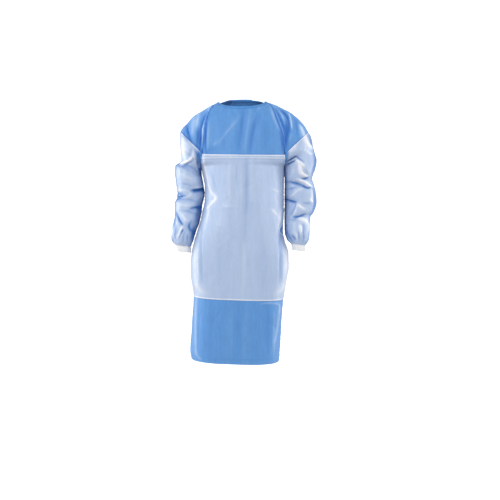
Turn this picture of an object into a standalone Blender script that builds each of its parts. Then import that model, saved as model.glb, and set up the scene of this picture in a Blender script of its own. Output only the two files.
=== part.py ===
"""Reinforced surgical gown in the hollow form it keeps when worn: raglan sleeves, lapped back and short knit cuffs.

Metres, +Z up. The front faces -Y and the wearer's left is +X. The origin is the middle of the neck opening, at the
height of the shoulder points beside the neck, where the shoulders carry the gown.
"""

import math

import bmesh
import bpy
import numpy as np

# Driving sizes
CLOTH = 0.0014  # wall of a base panel, measured inwards from the outer face
FACING = 0.0010  # wall of a reinforcement
LAYER_GAP = 0.0003  # between a panel and what lies on it
SEAM_HALF_GAP = 0.0002  # how far a panel's edge is drawn back from a seam
CORNER_HALF_GAP = 0.0006  # the same where the front, the back and the sleeve meet under the arm
LAP_LIFT = 0.0050  # the outer back panel stands this far off the inner one
FACING_EDGE_SHARE = 0.15  # how far a reinforcement's side edge lies from a seam, in columns
DOWN = np.array([0.0, 0.0, -1.0])  # the way the cloth opens under the arm, where it is folded shut
SHARPEST_MITRE = 0.6  # least cosine used where a seam's wall is mitred
SHARP_EDGE = math.radians(50)  # edges that turn more than this are shaded as corners

FRONT_COLUMNS = 24
BACK_COLUMNS = 15
SLEEVE_COLUMNS = 20
UNDERARM = 8  # the row where the raglan seams end and the sleeve closes
FACING_TOP = 6  # the row along which all three reinforcements begin

# Rows of the sleeves. The first nine run from the neck to the underarm: seam_x, front_y and seam_z give the front
# raglan seam, back_y the back one, and outer_x, outer_y and outer_z the crest of the shoulder. Below the underarm the
# row is a closed ring from its inner side to its outer side. depth is half the ring from front to back, and turn says
# how round the row is, from 1 for an open arc to 2 for a closed ring.
SLEEVE_FIELDS = ("seam_x", "front_y", "back_y", "seam_z", "outer_x", "outer_y", "outer_z", "depth", "turn")
SLEEVE_RIGHT_ROWS = (
    (-0.088, -0.030, 0.032, -0.010, -0.094, 0.002, -0.006, 0.000, 1.00),
    (-0.110, -0.052, 0.052, -0.022, -0.128, 0.003, -0.023, 0.000, 1.00),
    (-0.123, -0.070, 0.070, -0.046, -0.160, 0.004, -0.041, 0.000, 1.00),
    (-0.133, -0.084, 0.083, -0.074, -0.188, 0.005, -0.058, 0.000, 1.00),
    (-0.141, -0.093, 0.092, -0.108, -0.214, 0.006, -0.084, 0.004, 1.05),
    (-0.145, -0.095, 0.094, -0.150, -0.236, 0.006, -0.107, 0.014, 1.15),
    (-0.151, -0.080, 0.080, -0.213, -0.2445, 0.006, -0.122, 0.032, 1.35),
    (-0.157, -0.049, 0.049, -0.243, -0.2465, 0.006, -0.146, 0.056, 1.70),
    (-0.161, 0.004, 0.004, -0.260, -0.245, 0.006, -0.176, 0.066, 2.00),
    (-0.1625, 0.006, 0.006, -0.277, -0.241, 0.006, -0.212, 0.064, 2.00),
    (-0.162, 0.008, 0.008, -0.293, -0.240, 0.007, -0.234, 0.061, 2.00),
    (-0.159, 0.009, 0.009, -0.309, -0.265, 0.008, -0.258, 0.064, 2.00),
    (-0.156, 0.010, 0.010, -0.329, -0.2665, 0.010, -0.284, 0.064, 2.00),
    (-0.153, 0.011, 0.011, -0.348, -0.263, 0.011, -0.322, 0.062, 2.00),
    (-0.151, 0.012, 0.012, -0.366, -0.258, 0.012, -0.358, 0.058, 2.00),
    (-0.154, 0.012, 0.012, -0.386, -0.262, 0.012, -0.384, 0.057, 2.00),
    (-0.160, 0.010, 0.010, -0.410, -0.2675, 0.010, -0.406, 0.060, 2.00),
    (-0.164, 0.002, 0.002, -0.448, -0.267, 0.002, -0.452, 0.060, 2.00),
    (-0.171, -0.008, -0.008, -0.478, -0.272, -0.008, -0.480, 0.058, 2.00),
    (-0.180, -0.018, -0.018, -0.505, -0.279, -0.018, -0.506, 0.056, 2.00),
    (-0.188, -0.028, -0.028, -0.530, -0.2805, -0.028, -0.534, 0.052, 2.00),
    (-0.195, -0.036, -0.036, -0.554, -0.276, -0.036, -0.553, 0.043, 2.00),
    (-0.202, -0.042, -0.042, -0.574, -0.2645, -0.042, -0.566, 0.028, 2.00),
)
SLEEVE_LEFT_ROWS = (
    (0.089, -0.030, 0.032, -0.008, 0.093, 0.002, -0.003, 0.000, 1.00),
    (0.112, -0.052, 0.052, -0.020, 0.130, 0.003, -0.015, 0.000, 1.00),
    (0.123, -0.070, 0.070, -0.045, 0.162, 0.004, -0.030, 0.000, 1.00),
    (0.133, -0.084, 0.083, -0.076, 0.192, 0.005, -0.045, 0.000, 1.00),
    (0.146, -0.093, 0.092, -0.110, 0.224, 0.006, -0.071, 0.004, 1.05),
    (0.159, -0.095, 0.094, -0.152, 0.248, 0.006, -0.097, 0.014, 1.15),
    (0.165, -0.080, 0.080, -0.216, 0.264, 0.006, -0.124, 0.034, 1.35),
    (0.167, -0.049, 0.049, -0.244, 0.276, 0.006, -0.148, 0.058, 1.70),
    (0.168, 0.004, 0.004, -0.260, 0.283, 0.006, -0.182, 0.068, 2.00),
    (0.1695, 0.006, 0.006, -0.277, 0.290, 0.006, -0.208, 0.068, 2.00),
    (0.171, 0.008, 0.008, -0.294, 0.297, 0.007, -0.234, 0.067, 2.00),
    (0.172, 0.009, 0.009, -0.312, 0.294, 0.008, -0.260, 0.065, 2.00),
    (0.172, 0.010, 0.010, -0.332, 0.285, 0.010, -0.287, 0.061, 2.00),
    (0.172, 0.011, 0.011, -0.346, 0.2795, 0.011, -0.308, 0.058, 2.00),
    (0.172, 0.012, 0.012, -0.360, 0.287, 0.012, -0.330, 0.061, 2.00),
    (0.172, 0.012, 0.012, -0.382, 0.295, 0.012, -0.362, 0.063, 2.00),
    (0.172, 0.010, 0.010, -0.410, 0.298, 0.010, -0.402, 0.063, 2.00),
    (0.171, 0.002, 0.002, -0.440, 0.288, 0.002, -0.436, 0.060, 2.00),
    (0.171, -0.008, -0.008, -0.466, 0.272, -0.008, -0.462, 0.054, 2.00),
    (0.171, -0.018, -0.018, -0.494, 0.269, -0.018, -0.494, 0.054, 2.00),
    (0.172, -0.028, -0.028, -0.522, 0.268, -0.028, -0.524, 0.050, 2.00),
    (0.179, -0.036, -0.036, -0.546, 0.264, -0.036, -0.550, 0.041, 2.00),
    (0.194, -0.042, -0.042, -0.562, 0.251, -0.042, -0.569, 0.028, 2.00),
)

# Rows of the front and the back from the neck to the underarm: their middle points, between the raglan seams.
YOKE_FIELDS = ("front_y", "front_z", "back_y", "back_z")
YOKE_ROWS = (
    (-0.074, -0.031, 0.070, 0.010),
    (-0.086, -0.052, 0.084, -0.012),
    (-0.098, -0.078, 0.098, -0.042),
    (-0.107, -0.107, 0.108, -0.076),
    (-0.114, -0.138, 0.115, -0.112),
    (-0.120, -0.177, 0.120, -0.156),
    (-0.125, -0.218, 0.122, -0.212),
    (-0.127, -0.241, 0.122, -0.241),
    (-0.128, -0.260, 0.122, -0.260),
)

# Sections of the body below the underarm. right_x and left_x are the side seams, front_y and back_y the furthest
# points, boxiness is 2 for an ellipse and more for a squarer section, and tilt is how much lower the left seam lies
# than the middle, and the right one higher.
TRUNK_FIELDS = ("z", "right_x", "left_x", "front_y", "back_y", "boxiness", "tilt")
TRUNK_ROWS = (
    (-0.260, -0.161, 0.168, -0.128, 0.122, 2.00, 0.000),
    (-0.302, -0.153, 0.166, -0.130, 0.120, 2.05, 0.000),
    (-0.345, -0.146, 0.165, -0.131, 0.118, 2.15, 0.000),
    (-0.388, -0.147, 0.165, -0.132, 0.114, 2.30, 0.000),
    (-0.430, -0.155, 0.165, -0.133, 0.112, 2.50, 0.000),
    (-0.470, -0.163, 0.164, -0.134, 0.113, 2.80, 0.000),
    (-0.512, -0.176, 0.163, -0.135, 0.116, 3.10, 0.000),
    (-0.554, -0.189, 0.170, -0.136, 0.120, 3.30, 0.001),
    (-0.600, -0.199, 0.184, -0.137, 0.124, 3.40, 0.002),
    (-0.650, -0.204, 0.186, -0.138, 0.128, 3.40, 0.003),
    (-0.710, -0.202, 0.177, -0.140, 0.131, 3.30, 0.005),
    (-0.777, -0.193, 0.166, -0.142, 0.134, 3.10, 0.006),
    (-0.850, -0.198, 0.160, -0.143, 0.137, 3.00, 0.006),
    (-0.930, -0.204, 0.156, -0.144, 0.140, 2.90, 0.006),
    (-0.995, -0.209, 0.152, -0.145, 0.142, 2.90, 0.006),
    (-1.027, -0.205, 0.150, -0.146, 0.142, 2.90, 0.006),
)
FACING_END = UNDERARM + 11  # the row, at z -0.777, where the front reinforcement ends

# Long soft folds of the front and the back: the fold's x at its top and its foot, their heights, how deep it is
# (a minus sign makes a ridge) and half its width. side is -1 for the front and 1 for the back.
FOLD_FIELDS = ("side", "top_x", "top_z", "foot_x", "foot_z", "deep", "half")
FOLDS = (
    (-1, 0.014, -0.060, -0.012, -0.200, 0.0035, 0.018),
    (-1, 0.058, -0.085, 0.034, -0.210, 0.0030, 0.016),
    (-1, 0.020, -0.230, 0.020, -0.560, 0.0040, 0.018),
    (-1, -0.022, -0.250, -0.030, -0.480, 0.0020, 0.016),
    (-1, -0.120, -0.300, -0.128, -0.470, -0.0035, 0.020),
    (-1, -0.045, -0.760, -0.052, -1.020, 0.0030, 0.024),
    (-1, 0.010, -0.820, 0.012, -1.030, 0.0030, 0.022),
    (-1, 0.090, -0.640, 0.085, -1.030, 0.0025, 0.026),
    (1, -0.060, -0.150, -0.085, -1.020, 0.0050, 0.024),
    (1, 0.035, -0.300, 0.048, -1.020, 0.0045, 0.026),
    (1, -0.128, -0.420, -0.140, -1.020, -0.0045, 0.022),
    (1, 0.110, -0.300, 0.118, -0.900, 0.0040, 0.022),
)

# Large creases across the sleeves: the ends of each in x and z as seen from the front or the back, how deep it is and
# half its width. side is -1 for the front and 1 for the back.
CREASE_FIELDS = ("side", "from_x", "from_z", "to_x", "to_z", "deep", "half")
SLEEVE_RIGHT_CREASES = (
    (-1, -0.245, -0.243, -0.168, -0.292, 0.0070, 0.012),
    (-1, -0.236, -0.250, -0.196, -0.222, -0.0040, 0.010),
    (-1, -0.200, -0.356, -0.150, -0.350, 0.0070, 0.012),
    (-1, -0.266, -0.383, -0.206, -0.392, 0.0050, 0.012),
    (-1, -0.206, -0.430, -0.160, -0.420, 0.0035, 0.012),
    (-1, -0.236, -0.506, -0.262, -0.560, 0.0040, 0.010),
    (1, -0.250, -0.236, -0.170, -0.262, 0.0060, 0.013),
    (1, -0.260, -0.330, -0.176, -0.306, 0.0050, 0.013),
    (1, -0.262, -0.388, -0.170, -0.400, 0.0070, 0.013),
    (1, -0.266, -0.470, -0.200, -0.446, 0.0045, 0.012),
    (1, -0.226, -0.520, -0.236, -0.566, 0.0040, 0.010),
)
SLEEVE_LEFT_CREASES = (
    (-1, 0.178, -0.242, 0.218, -0.224, 0.0060, 0.011),
    (-1, 0.236, -0.240, 0.266, -0.300, -0.0045, 0.013),
    (-1, 0.184, -0.322, 0.276, -0.341, 0.0065, 0.012),
    (-1, 0.180, -0.390, 0.220, -0.402, 0.0040, 0.012),
    (-1, 0.204, -0.458, 0.262, -0.450, 0.0060, 0.012),
    (-1, 0.226, -0.512, 0.230, -0.560, 0.0035, 0.010),
    (1, 0.184, -0.262, 0.282, -0.236, 0.0055, 0.013),
    (1, 0.186, -0.330, 0.276, -0.312, 0.0065, 0.013),
    (1, 0.186, -0.392, 0.290, -0.410, 0.0065, 0.013),
    (1, 0.186, -0.470, 0.262, -0.448, 0.0050, 0.012),
    (1, 0.214, -0.520, 0.220, -0.560, 0.0035, 0.010),
)

BODY_FADE = 0.10  # folds of the body die out over this share beside a seam
SLEEVE_FADE = 0.15  # and creases of a sleeve over this one
CREASE_TURN = 0.030  # creases of a sleeve die out over this depth where it turns away from its front or its back

# Lap of the back: how far each back panel reaches past the middle, in shares of the half round, at the neck and hem.
LAP_AT_NECK = 0.14
LAP_AT_HEM = 0.19
LAP_CLEAR_SHARE = 0.03  # the outer panel is fully lifted this far before it reaches the inner one's edge
LAP_RISE_SHARE = 0.16  # and it rises over this share

# Knit cuffs
CUFF_LENGTH = 0.027
CUFF_WALL = 0.0016
CUFF_RIBS = 32
CUFF_RIB_HEIGHT = 0.0006
CUFF_NARROWING = 0.90

# Binding of the neck: a strip folded over the edge
BINDING_WIDTH = 0.010
BINDING_WALL = 0.0007
BINDING_GAP = 0.0007

# Fastenings of the back. The spans are shares of the half round from the right seam to the left one. Each end of the
# tie has its length and how far it leans from the knot.
NECK_TAB_ROWS = (1.06, 1.92)  # row positions of the tab's upper and lower edge, both between the same two rows
NECK_TAB_COLUMNS = 4
NECK_TAB_SHORT = 0.12  # how far the tab stays off the panel's free edge, in columns
NECK_TAB_WALL = 0.0012
TAB_CLEAR = 0.0006
TIE_WIDTH = 0.022
TIE_WALL = 0.0010
TIE_CLEAR = 0.0012  # over the facets of the back
KNOT_CLEAR = 0.0006  # the same where the back is nearly flat, under the knot and the short band
TIE_HEIGHT = -0.425
TIE_SEWN_SPAN = 0.08
TIE_KNOT_SPAN = 0.83
KNOT_HALF_SPAN = 0.052
TIE_SEAM_SPAN = 0.975
TIE_STATIONS = 8
TIE_FALL_START = 0.008  # past the flap's edge the band comes down to the inner panel
TIE_FALL_SPAN = 0.035
TIE_END_FIELDS = ("name", "length", "lean")
TIE_ENDS = (("waist_tie_end_right", 0.205, -0.055), ("waist_tie_end_left", 0.170, 0.055))
TIE_END_GAP = 0.004  # between the band's lower edge and the two ends
TIE_END_LEAN = (0.45, 1.0)  # share of the lean at an end's top and at its foot
TIE_END_WIDTH = (0.60, 0.90)  # share of the width there: gathered at the knot
KNOT_SIZE = (0.026, 0.009, 0.026)

BLUE = (0.13, 0.33, 0.66, 1.0)
DEEP_BLUE = (0.07, 0.28, 0.66, 1.0)
PALE = (0.46, 0.57, 0.77, 1.0)
WHITE = (0.74, 0.76, 0.82, 1.0)


def column(rows, fields, name):
    return np.array([row[fields.index(name)] for row in rows])


def flowing(values, at):
    """A monotone cubic through evenly spaced values, read at the row position at: it never swings past a row."""
    last = len(values) - 1
    low = min(int(at), last - 1)
    steps = np.diff(values)

    def slope(k):
        if k == 0:
            return steps[0]
        if k == last:
            return steps[-1]
        before, after = steps[k - 1], steps[k]
        return 0.0 if before * after <= 0 else 2 * before * after / (before + after)

    t = at - low
    a, b = values[low], values[low + 1]
    rise = t * t * (3 - 2 * t)
    return a + (b - a) * rise + slope(low) * t * (1 - t) ** 2 - slope(low + 1) * t * t * (1 - t)


def read_row(rows, fields, at):
    return {name: float(flowing(column(rows, fields, name), at)) for name in fields}


def blend(ends, share):
    return ends[0] + (ends[1] - ends[0]) * share


def smooth(share):
    share = min(1.0, max(0.0, share))
    return share * share * (3 - 2 * share)


def distance_to_segment(point, start, end):
    """How far a point lies from a segment, in a plane, and the share of the segment that is nearest to it."""
    along = end - start
    share = float(np.clip(np.dot(point - start, along) / np.dot(along, along), 0, 1))
    return float(np.linalg.norm(point - start - share * along)), share


# Shapes of the panels


def sleeve_point(rows, at, u):
    """A point of a sleeve: u runs from the front seam over the outer side to the back seam."""
    row = read_row(rows, SLEEVE_FIELDS, at)
    front = np.array([row["seam_x"], row["front_y"], row["seam_z"]])
    back = np.array([row["seam_x"], row["back_y"], row["seam_z"]])
    outer = np.array([row["outer_x"], row["outer_y"], row["outer_z"]])
    middle = (front + back) / 2
    swell = math.sin(math.pi * u) ** row["turn"] if 0 < u < 1 else 0.0
    depth = row["depth"] * math.sin(2 * math.pi * u)
    return front + (back - front) * u + (outer - middle) * swell + np.array([0, -depth, 0])


def body_seams(at):
    """The two seam points where a row of the body ends, and the depth and height of its middle, front and back."""
    if at <= UNDERARM:
        yoke = read_row(YOKE_ROWS, YOKE_FIELDS, at)
        sides = [read_row(rows, SLEEVE_FIELDS, at) for rows in (SLEEVE_RIGHT_ROWS, SLEEVE_LEFT_ROWS)]
        front = [np.array([s["seam_x"], s["front_y"], s["seam_z"]]) for s in sides]
        back = [np.array([s["seam_x"], s["back_y"], s["seam_z"]]) for s in sides]
        front_middle = np.array([0, yoke["front_y"], yoke["front_z"]])
        back_middle = np.array([0, yoke["back_y"], yoke["back_z"]])
        return front, back, front_middle, back_middle, 2.0
    trunk = read_row(TRUNK_ROWS, TRUNK_FIELDS, at - UNDERARM)
    seam_y = read_row(SLEEVE_RIGHT_ROWS, SLEEVE_FIELDS, UNDERARM)["front_y"]
    tilt = trunk["tilt"]
    right_end = np.array([trunk["right_x"], seam_y, trunk["z"] + tilt])
    left_end = np.array([trunk["left_x"], seam_y, trunk["z"] - tilt])
    ends = [right_end, left_end]
    front_middle = np.array([0, trunk["front_y"], trunk["z"]])
    back_middle = np.array([0, trunk["back_y"], trunk["z"]])
    return ends, ends, front_middle, back_middle, trunk["boxiness"]


def body_point(at, u, side):
    """A point of the front (side -1) or the back (side 1): u runs from the wearer's right seam to the left one."""
    front, back, front_middle, back_middle, boxiness = body_seams(at)
    ends, middle = (front, front_middle) if side < 0 else (back, back_middle)
    centre, half = (ends[0] + ends[1]) / 2, (ends[1] - ends[0]) / 2
    reach = middle - centre
    reach[0] = 0
    across, forward = math.cos(math.pi * u), math.sin(math.pi * u)
    power = 2 / boxiness
    across = math.copysign(abs(across) ** power, across)
    forward = max(forward, 0.0) ** power
    if u in (0, 1):
        forward = 0.0
    return centre - half * across + reach * forward


def seam_fade(u, reach):
    return smooth(u / reach) * smooth((1 - u) / reach)


def body_fold(point, u, side):
    """How far a point of the body moves inwards with the long folds, which die out at the seams."""
    flat = np.array([point[0], point[2]])
    depth = 0.0
    for row in FOLDS:
        fold = dict(zip(FOLD_FIELDS, row))
        if fold["side"] != side:
            continue
        top, foot = np.array([fold["top_x"], fold["top_z"]]), np.array([fold["foot_x"], fold["foot_z"]])
        gap, share = distance_to_segment(flat, top, foot)
        depth += fold["deep"] * math.exp(-((gap / fold["half"]) ** 2)) * (0.45 + 0.55 * math.sin(math.pi * share))
    return depth * seam_fade(u, BODY_FADE)


def sleeve_crease(creases, point, centre_y, at, u):
    """How far a point of a sleeve moves inwards with the large creases."""
    flat = np.array([point[0], point[2]])
    side = -1 if point[1] < centre_y else 1
    facing = min(1.0, abs(point[1] - centre_y) / CREASE_TURN)
    depth = 0.0
    for row in creases:
        crease = dict(zip(CREASE_FIELDS, row))
        if crease["side"] != side:
            continue
        start = np.array([crease["from_x"], crease["from_z"]])
        end = np.array([crease["to_x"], crease["to_z"]])
        gap, _ = distance_to_segment(flat, start, end)
        depth += crease["deep"] * math.exp(-((gap / crease["half"]) ** 2))
    fade = 1.0 if at >= UNDERARM + 1 else seam_fade(u, SLEEVE_FADE)
    return depth * facing * fade


# Grids of points, with the vertices that a closed row shares


class Panel:
    """A grid of points, its rows top to bottom, with the index of each grid place and the quads between them."""

    def __init__(self, points, closed=None):
        rows, columns = points.shape[:2]
        closed = closed if closed is not None else [False] * rows
        self.index = np.zeros((rows, columns), int)
        kept = []
        for i in range(rows):
            for j in range(columns):
                if closed[i] and j == columns - 1:
                    self.index[i, j] = self.index[i, 0]
                    continue
                self.index[i, j] = len(kept)
                kept.append(points[i, j])
        self.points = np.array(kept)
        self.closed = closed
        self.faces = [
            (self.index[i, j], self.index[i + 1, j], self.index[i + 1, j + 1], self.index[i, j + 1])
            for i in range(rows - 1)
            for j in range(columns - 1)
        ]
        self.faces = [tuple(dict.fromkeys(face)) for face in self.faces]
        self.normals = self.own_normals()
        self.own = self.normals
        self.mitre = np.ones(len(self.points))

    def own_normals(self):
        total = np.zeros_like(self.points)
        for face in self.faces:
            a, b, c = (self.points[face[k]] for k in (0, 1, 2))
            d = self.points[face[3]] if len(face) == 4 else self.points[face[0]]
            normal = np.cross(c - a, d - b) if len(face) == 4 else np.cross(b - a, c - a)
            for k in face:
                total[k] += normal
        return unit(total)


def turned(face):
    """The face seen from its other side, starting at the same corner so that it splits along the same diagonal."""
    return (face[0],) + tuple(reversed(face[1:]))


def unit(vectors):
    length = np.linalg.norm(vectors, axis=-1, keepdims=True)
    return vectors / np.where(length > 0, length, 1)


def key_of(point):
    return tuple(np.round(point * 1e6).astype(int))


def join_normals(groups):
    """Gives all panels one normal where they meet, so their walls are mitred there. A group is one smooth body."""
    folded_shut = {key_of(sleeve_point(rows, UNDERARM, 0)) for rows in (SLEEVE_RIGHT_ROWS, SLEEVE_LEFT_ROWS)}
    group_sums = []
    for panels in groups:
        sums = {}
        for panel in panels:
            for point, normal in zip(panel.points, panel.normals):
                sums[key_of(point)] = sums.get(key_of(point), 0) + normal
        group_sums.append({key: unit(total) for key, total in sums.items()})
    for panels in groups:
        for panel in panels:
            normals = panel.own.copy()
            for k, point in enumerate(panel.points):
                found = [sums[key_of(point)] for sums in group_sums if key_of(point) in sums]
                shared = unit(sum(found))
                if key_of(point) in folded_shut:
                    shared = DOWN
                cosine = float(np.mean([np.dot(shared, normal) for normal in found]))
                normals[k] = shared
                panel.mitre[k] = 1 / max(cosine, SHARPEST_MITRE)
            panel.normals = normals


def draw_back(panel, columns=(True, True)):
    """Moves a panel's side edges away from its seams, along the cloth and across the seam's mitre."""
    moved = panel.points.copy()
    last = len(panel.index) - 1
    for column_at, beside_at, wanted in ((0, 1, columns[0]), (-1, -2, columns[1])):
        if not wanted:
            continue
        for i, row in enumerate(panel.index):
            if panel.closed[i] and (i == 0 or panel.closed[i - 1]):
                continue
            here, beside = row[column_at], row[beside_at]
            if panel.closed[i]:
                beside = panel.index[i + 1][0]
            inward = unit(panel.points[beside] - panel.points[here])
            above = panel.points[panel.index[max(i - 1, 0)][column_at]]
            below = panel.points[panel.index[min(i + 1, last)][column_at]]
            across = unit(np.cross(panel.normals[here], below - above))
            across = across if np.dot(across, inward) > 0 else -across
            gap = CORNER_HALF_GAP if i == UNDERARM else SEAM_HALF_GAP
            moved[here] = panel.points[here] + gap * unit(inward + across)
    panel.points = moved


def wall_mesh(name, panel, outward, inward):
    """The closed wall between a panel's points moved out by outward and in by inward, measured along its normals."""
    count = len(panel.points)
    offset = panel.normals * panel.mitre[:, None]
    points = np.concatenate([panel.points + offset * outward, panel.points + offset * inward])
    faces = list(panel.faces)
    faces += [tuple(k + count for k in turned(face)) for face in panel.faces]
    edges = {}
    for face in panel.faces:
        for a, b in zip(face, face[1:] + face[:1]):
            edges[(a, b)] = True
    for a, b in edges:
        if (b, a) not in edges:
            rim = (b, a, a + count, b + count)
            faces.append(rim if panel.points[b][2] > panel.points[a][2] else rim[1:] + rim[:1])
    return mesh_of(name, points, faces)


def mesh_of(name, points, faces):
    mesh = bpy.data.meshes.new(name)
    mesh.from_pydata([tuple(map(float, point)) for point in points], [], [tuple(map(int, face)) for face in faces])
    cage = bmesh.new()
    cage.from_mesh(mesh)
    bmesh.ops.delete(cage, geom=[point for point in cage.verts if not point.link_faces], context="VERTS")
    bmesh.ops.triangulate(cage, faces=cage.faces[:], quad_method="FIXED")
    bmesh.ops.recalc_face_normals(cage, faces=cage.faces[:])
    cage.to_mesh(mesh)
    cage.free()
    mesh.shade_smooth()
    mesh.set_sharp_from_angle(angle=SHARP_EDGE)
    return mesh


def material(name, colour, roughness):
    made = bpy.data.materials.new(name)
    made.use_nodes = True
    shader = made.node_tree.nodes["Principled BSDF"]
    shader.inputs["Base Color"].default_value = colour
    shader.inputs["Roughness"].default_value = roughness
    shader.inputs["Metallic"].default_value = 0.0
    return made


def add_part(name, mesh, colour, roughness, collection):
    part = bpy.data.objects.new(name, mesh)
    mesh.materials.append(material(name, colour, roughness))
    collection.objects.link(part)
    return part


# Panels of the gown


def sleeve_panel(rows, creases):
    stations = list(range(len(rows)))
    closed = [at >= UNDERARM for at in stations]
    points = np.zeros((len(stations), SLEEVE_COLUMNS + 1, 3))
    for i, at in enumerate(stations):
        for j in range(SLEEVE_COLUMNS + 1):
            points[i, j] = sleeve_point(rows, at, j / SLEEVE_COLUMNS)
    panel = facing_out(Panel(points, closed))
    for i, at in enumerate(stations):
        centre_y = read_row(rows, SLEEVE_FIELDS, at)["outer_y"]
        for j in range(SLEEVE_COLUMNS):
            k = panel.index[i, j]
            move = sleeve_crease(creases, panel.points[k], centre_y, at, j / SLEEVE_COLUMNS)
            panel.points[k] = panel.points[k] - panel.normals[k] * move
    panel.own = panel.normals = panel.own_normals()
    return panel


def body_panel(side, ends, columns, last_row):
    """A panel of the body between two shares of the half round, which ends gives for each row."""
    points = np.zeros((last_row + 1, columns + 1, 3))
    shares = np.zeros((last_row + 1, columns + 1))
    for i in range(last_row + 1):
        start, end = ends(i / last_row)
        for j in range(columns + 1):
            shares[i, j] = start + (end - start) * j / columns
            points[i, j] = body_point(i, shares[i, j], side)
    panel = facing_out(Panel(points))
    for i in range(last_row + 1):
        for j in range(columns + 1):
            k = panel.index[i, j]
            move = body_fold(panel.points[k], shares[i, j], side)
            panel.points[k] = panel.points[k] - panel.normals[k] * move
    panel.own = panel.normals = panel.own_normals()
    panel.shares = shares
    return panel


def facing_out(panel):
    """Turns a panel's faces round if they look towards the gown's or the sleeve's inside."""
    middle = (panel.points.min(axis=0) + panel.points.max(axis=0)) / 2
    outwards = panel.points - middle
    if panel.points[:, 1].max() < 0.01:
        outwards = np.tile(np.array([0.0, -1.0, 0.0]), (len(panel.points), 1))
    elif panel.points[:, 1].min() > -0.01:
        outwards = np.tile(np.array([0.0, 1.0, 0.0]), (len(panel.points), 1))
    panel.starts_outwards = np.sum(panel.normals * outwards) >= 0
    if not panel.starts_outwards:
        panel.faces = [turned(face) for face in panel.faces]
        panel.normals = -panel.normals
    return panel


def lap(share):
    return LAP_AT_NECK + (LAP_AT_HEM - LAP_AT_NECK) * share


def lift_lap(panel):
    """Moves the outer back panel off the one beneath, from its own half towards its free edge."""
    for i in range(len(panel.index)):
        start = 0.5 - lap(i / (len(panel.index) - 1)) - LAP_CLEAR_SHARE
        for j in range(panel.index.shape[1]):
            rise = smooth((panel.shares[i, j] - start + LAP_RISE_SHARE) / LAP_RISE_SHARE)
            k = panel.index[i, j]
            panel.points[k] = panel.points[k] + panel.normals[k] * LAP_LIFT * rise


def cut_panel(panel, first, last):
    """The part of a panel between two rows, with its own points and its own normals."""
    rows = panel.index[first : last + 1]
    piece = Panel(panel.points[rows], panel.closed[first : last + 1])
    piece.own = np.zeros_like(piece.points)
    piece.own[piece.index] = panel.own[rows]
    piece.normals = piece.own
    return piece


def facing_mesh(name, panel, first, last, clear_row, edge_share):
    """A reinforcement: a panel's points between two rows, moved out by the layer gap.

    Above clear_row it leaves a column free beside each seam, because the fold under the arm is narrow there.
    """
    piece = cut_panel(panel, first, last)
    columns = piece.index.shape[1] - 1
    piece.faces = []
    for i in range(len(piece.index) - 1):
        spared = 1 if first + i < clear_row else 0
        for j in range(spared, columns - spared):
            grid = piece.index
            piece.faces.append((grid[i, j], grid[i + 1, j], grid[i + 1, j + 1], grid[i, j + 1]))
    if not panel.starts_outwards:
        piece.faces = [turned(face) for face in piece.faces]
    moved = piece.points.copy()
    for i, row in enumerate(piece.index):
        if not piece.closed[i]:
            for here, beside in ((row[0], row[1]), (row[-1], row[-2])):
                moved[here] += edge_share * (piece.points[beside] - piece.points[here])
    piece.points = moved
    return wall_mesh(name, piece, LAYER_GAP + FACING, LAYER_GAP)


def cuff_mesh(name, rows, last_at):
    """A ribbed knit tube below the sleeve's last ring, a little narrower at its open end."""
    row = read_row(rows, SLEEVE_FIELDS, last_at)
    above = read_row(rows, SLEEVE_FIELDS, last_at - 1)
    inner = np.array([row["seam_x"], row["front_y"], row["seam_z"]])
    outer = np.array([row["outer_x"], row["outer_y"], row["outer_z"]])
    above_inner = np.array([above["seam_x"], above["front_y"], above["seam_z"]])
    above_outer = np.array([above["outer_x"], above["outer_y"], above["outer_z"]])
    centre, across = (inner + outer) / 2, (outer - inner) / 2
    down = unit(centre - (above_inner + above_outer) / 2)
    forward = np.array([0.0, -row["depth"], 0.0])
    columns = CUFF_RIBS * 2
    stations = (0.0, 0.5, 1.0)
    outside, inside = [], []
    for share in stations:
        at = centre + down * (2 * SEAM_HALF_GAP + CUFF_LENGTH * share)
        size = 1 - (1 - CUFF_NARROWING) * share
        for j in range(columns):
            turn = 2 * math.pi * j / columns
            spoke = -across * math.cos(turn) + forward * math.sin(turn)
            reach = np.linalg.norm(spoke) * size
            rib = CUFF_RIB_HEIGHT * (j % 2)
            outside.append(at + unit(spoke) * (reach - CUFF_RIB_HEIGHT + rib))
            inside.append(at + unit(spoke) * (reach - CUFF_RIB_HEIGHT - CUFF_WALL))
    points = outside + inside
    count = len(outside)
    faces = []
    for i in range(len(stations) - 1):
        for j in range(columns):
            a, b = i * columns + j, i * columns + (j + 1) % columns
            c, d = b + columns, a + columns
            faces += [(a, b, c, d), (d + count, c + count, b + count, a + count)]
    for i in (0, len(stations) - 1):
        for j in range(columns):
            a, b = i * columns + j, i * columns + (j + 1) % columns
            faces.append((a, b, b + count, a + count))
    return mesh_of(name, points, faces)


def swept_mesh(name, stations):
    """A closed solid through rings of equal length, each a list of points, with a cap at either end."""
    size = len(stations[0])
    points = [point for ring in stations for point in ring]
    faces = [tuple(range(size)), tuple(reversed(range(len(points) - size, len(points))))]
    for i in range(len(stations) - 1):
        for j in range(size):
            a, b = i * size + j, i * size + (j + 1) % size
            faces.append((a, a + size, b + size, b))
    return mesh_of(name, points, faces)


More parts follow.
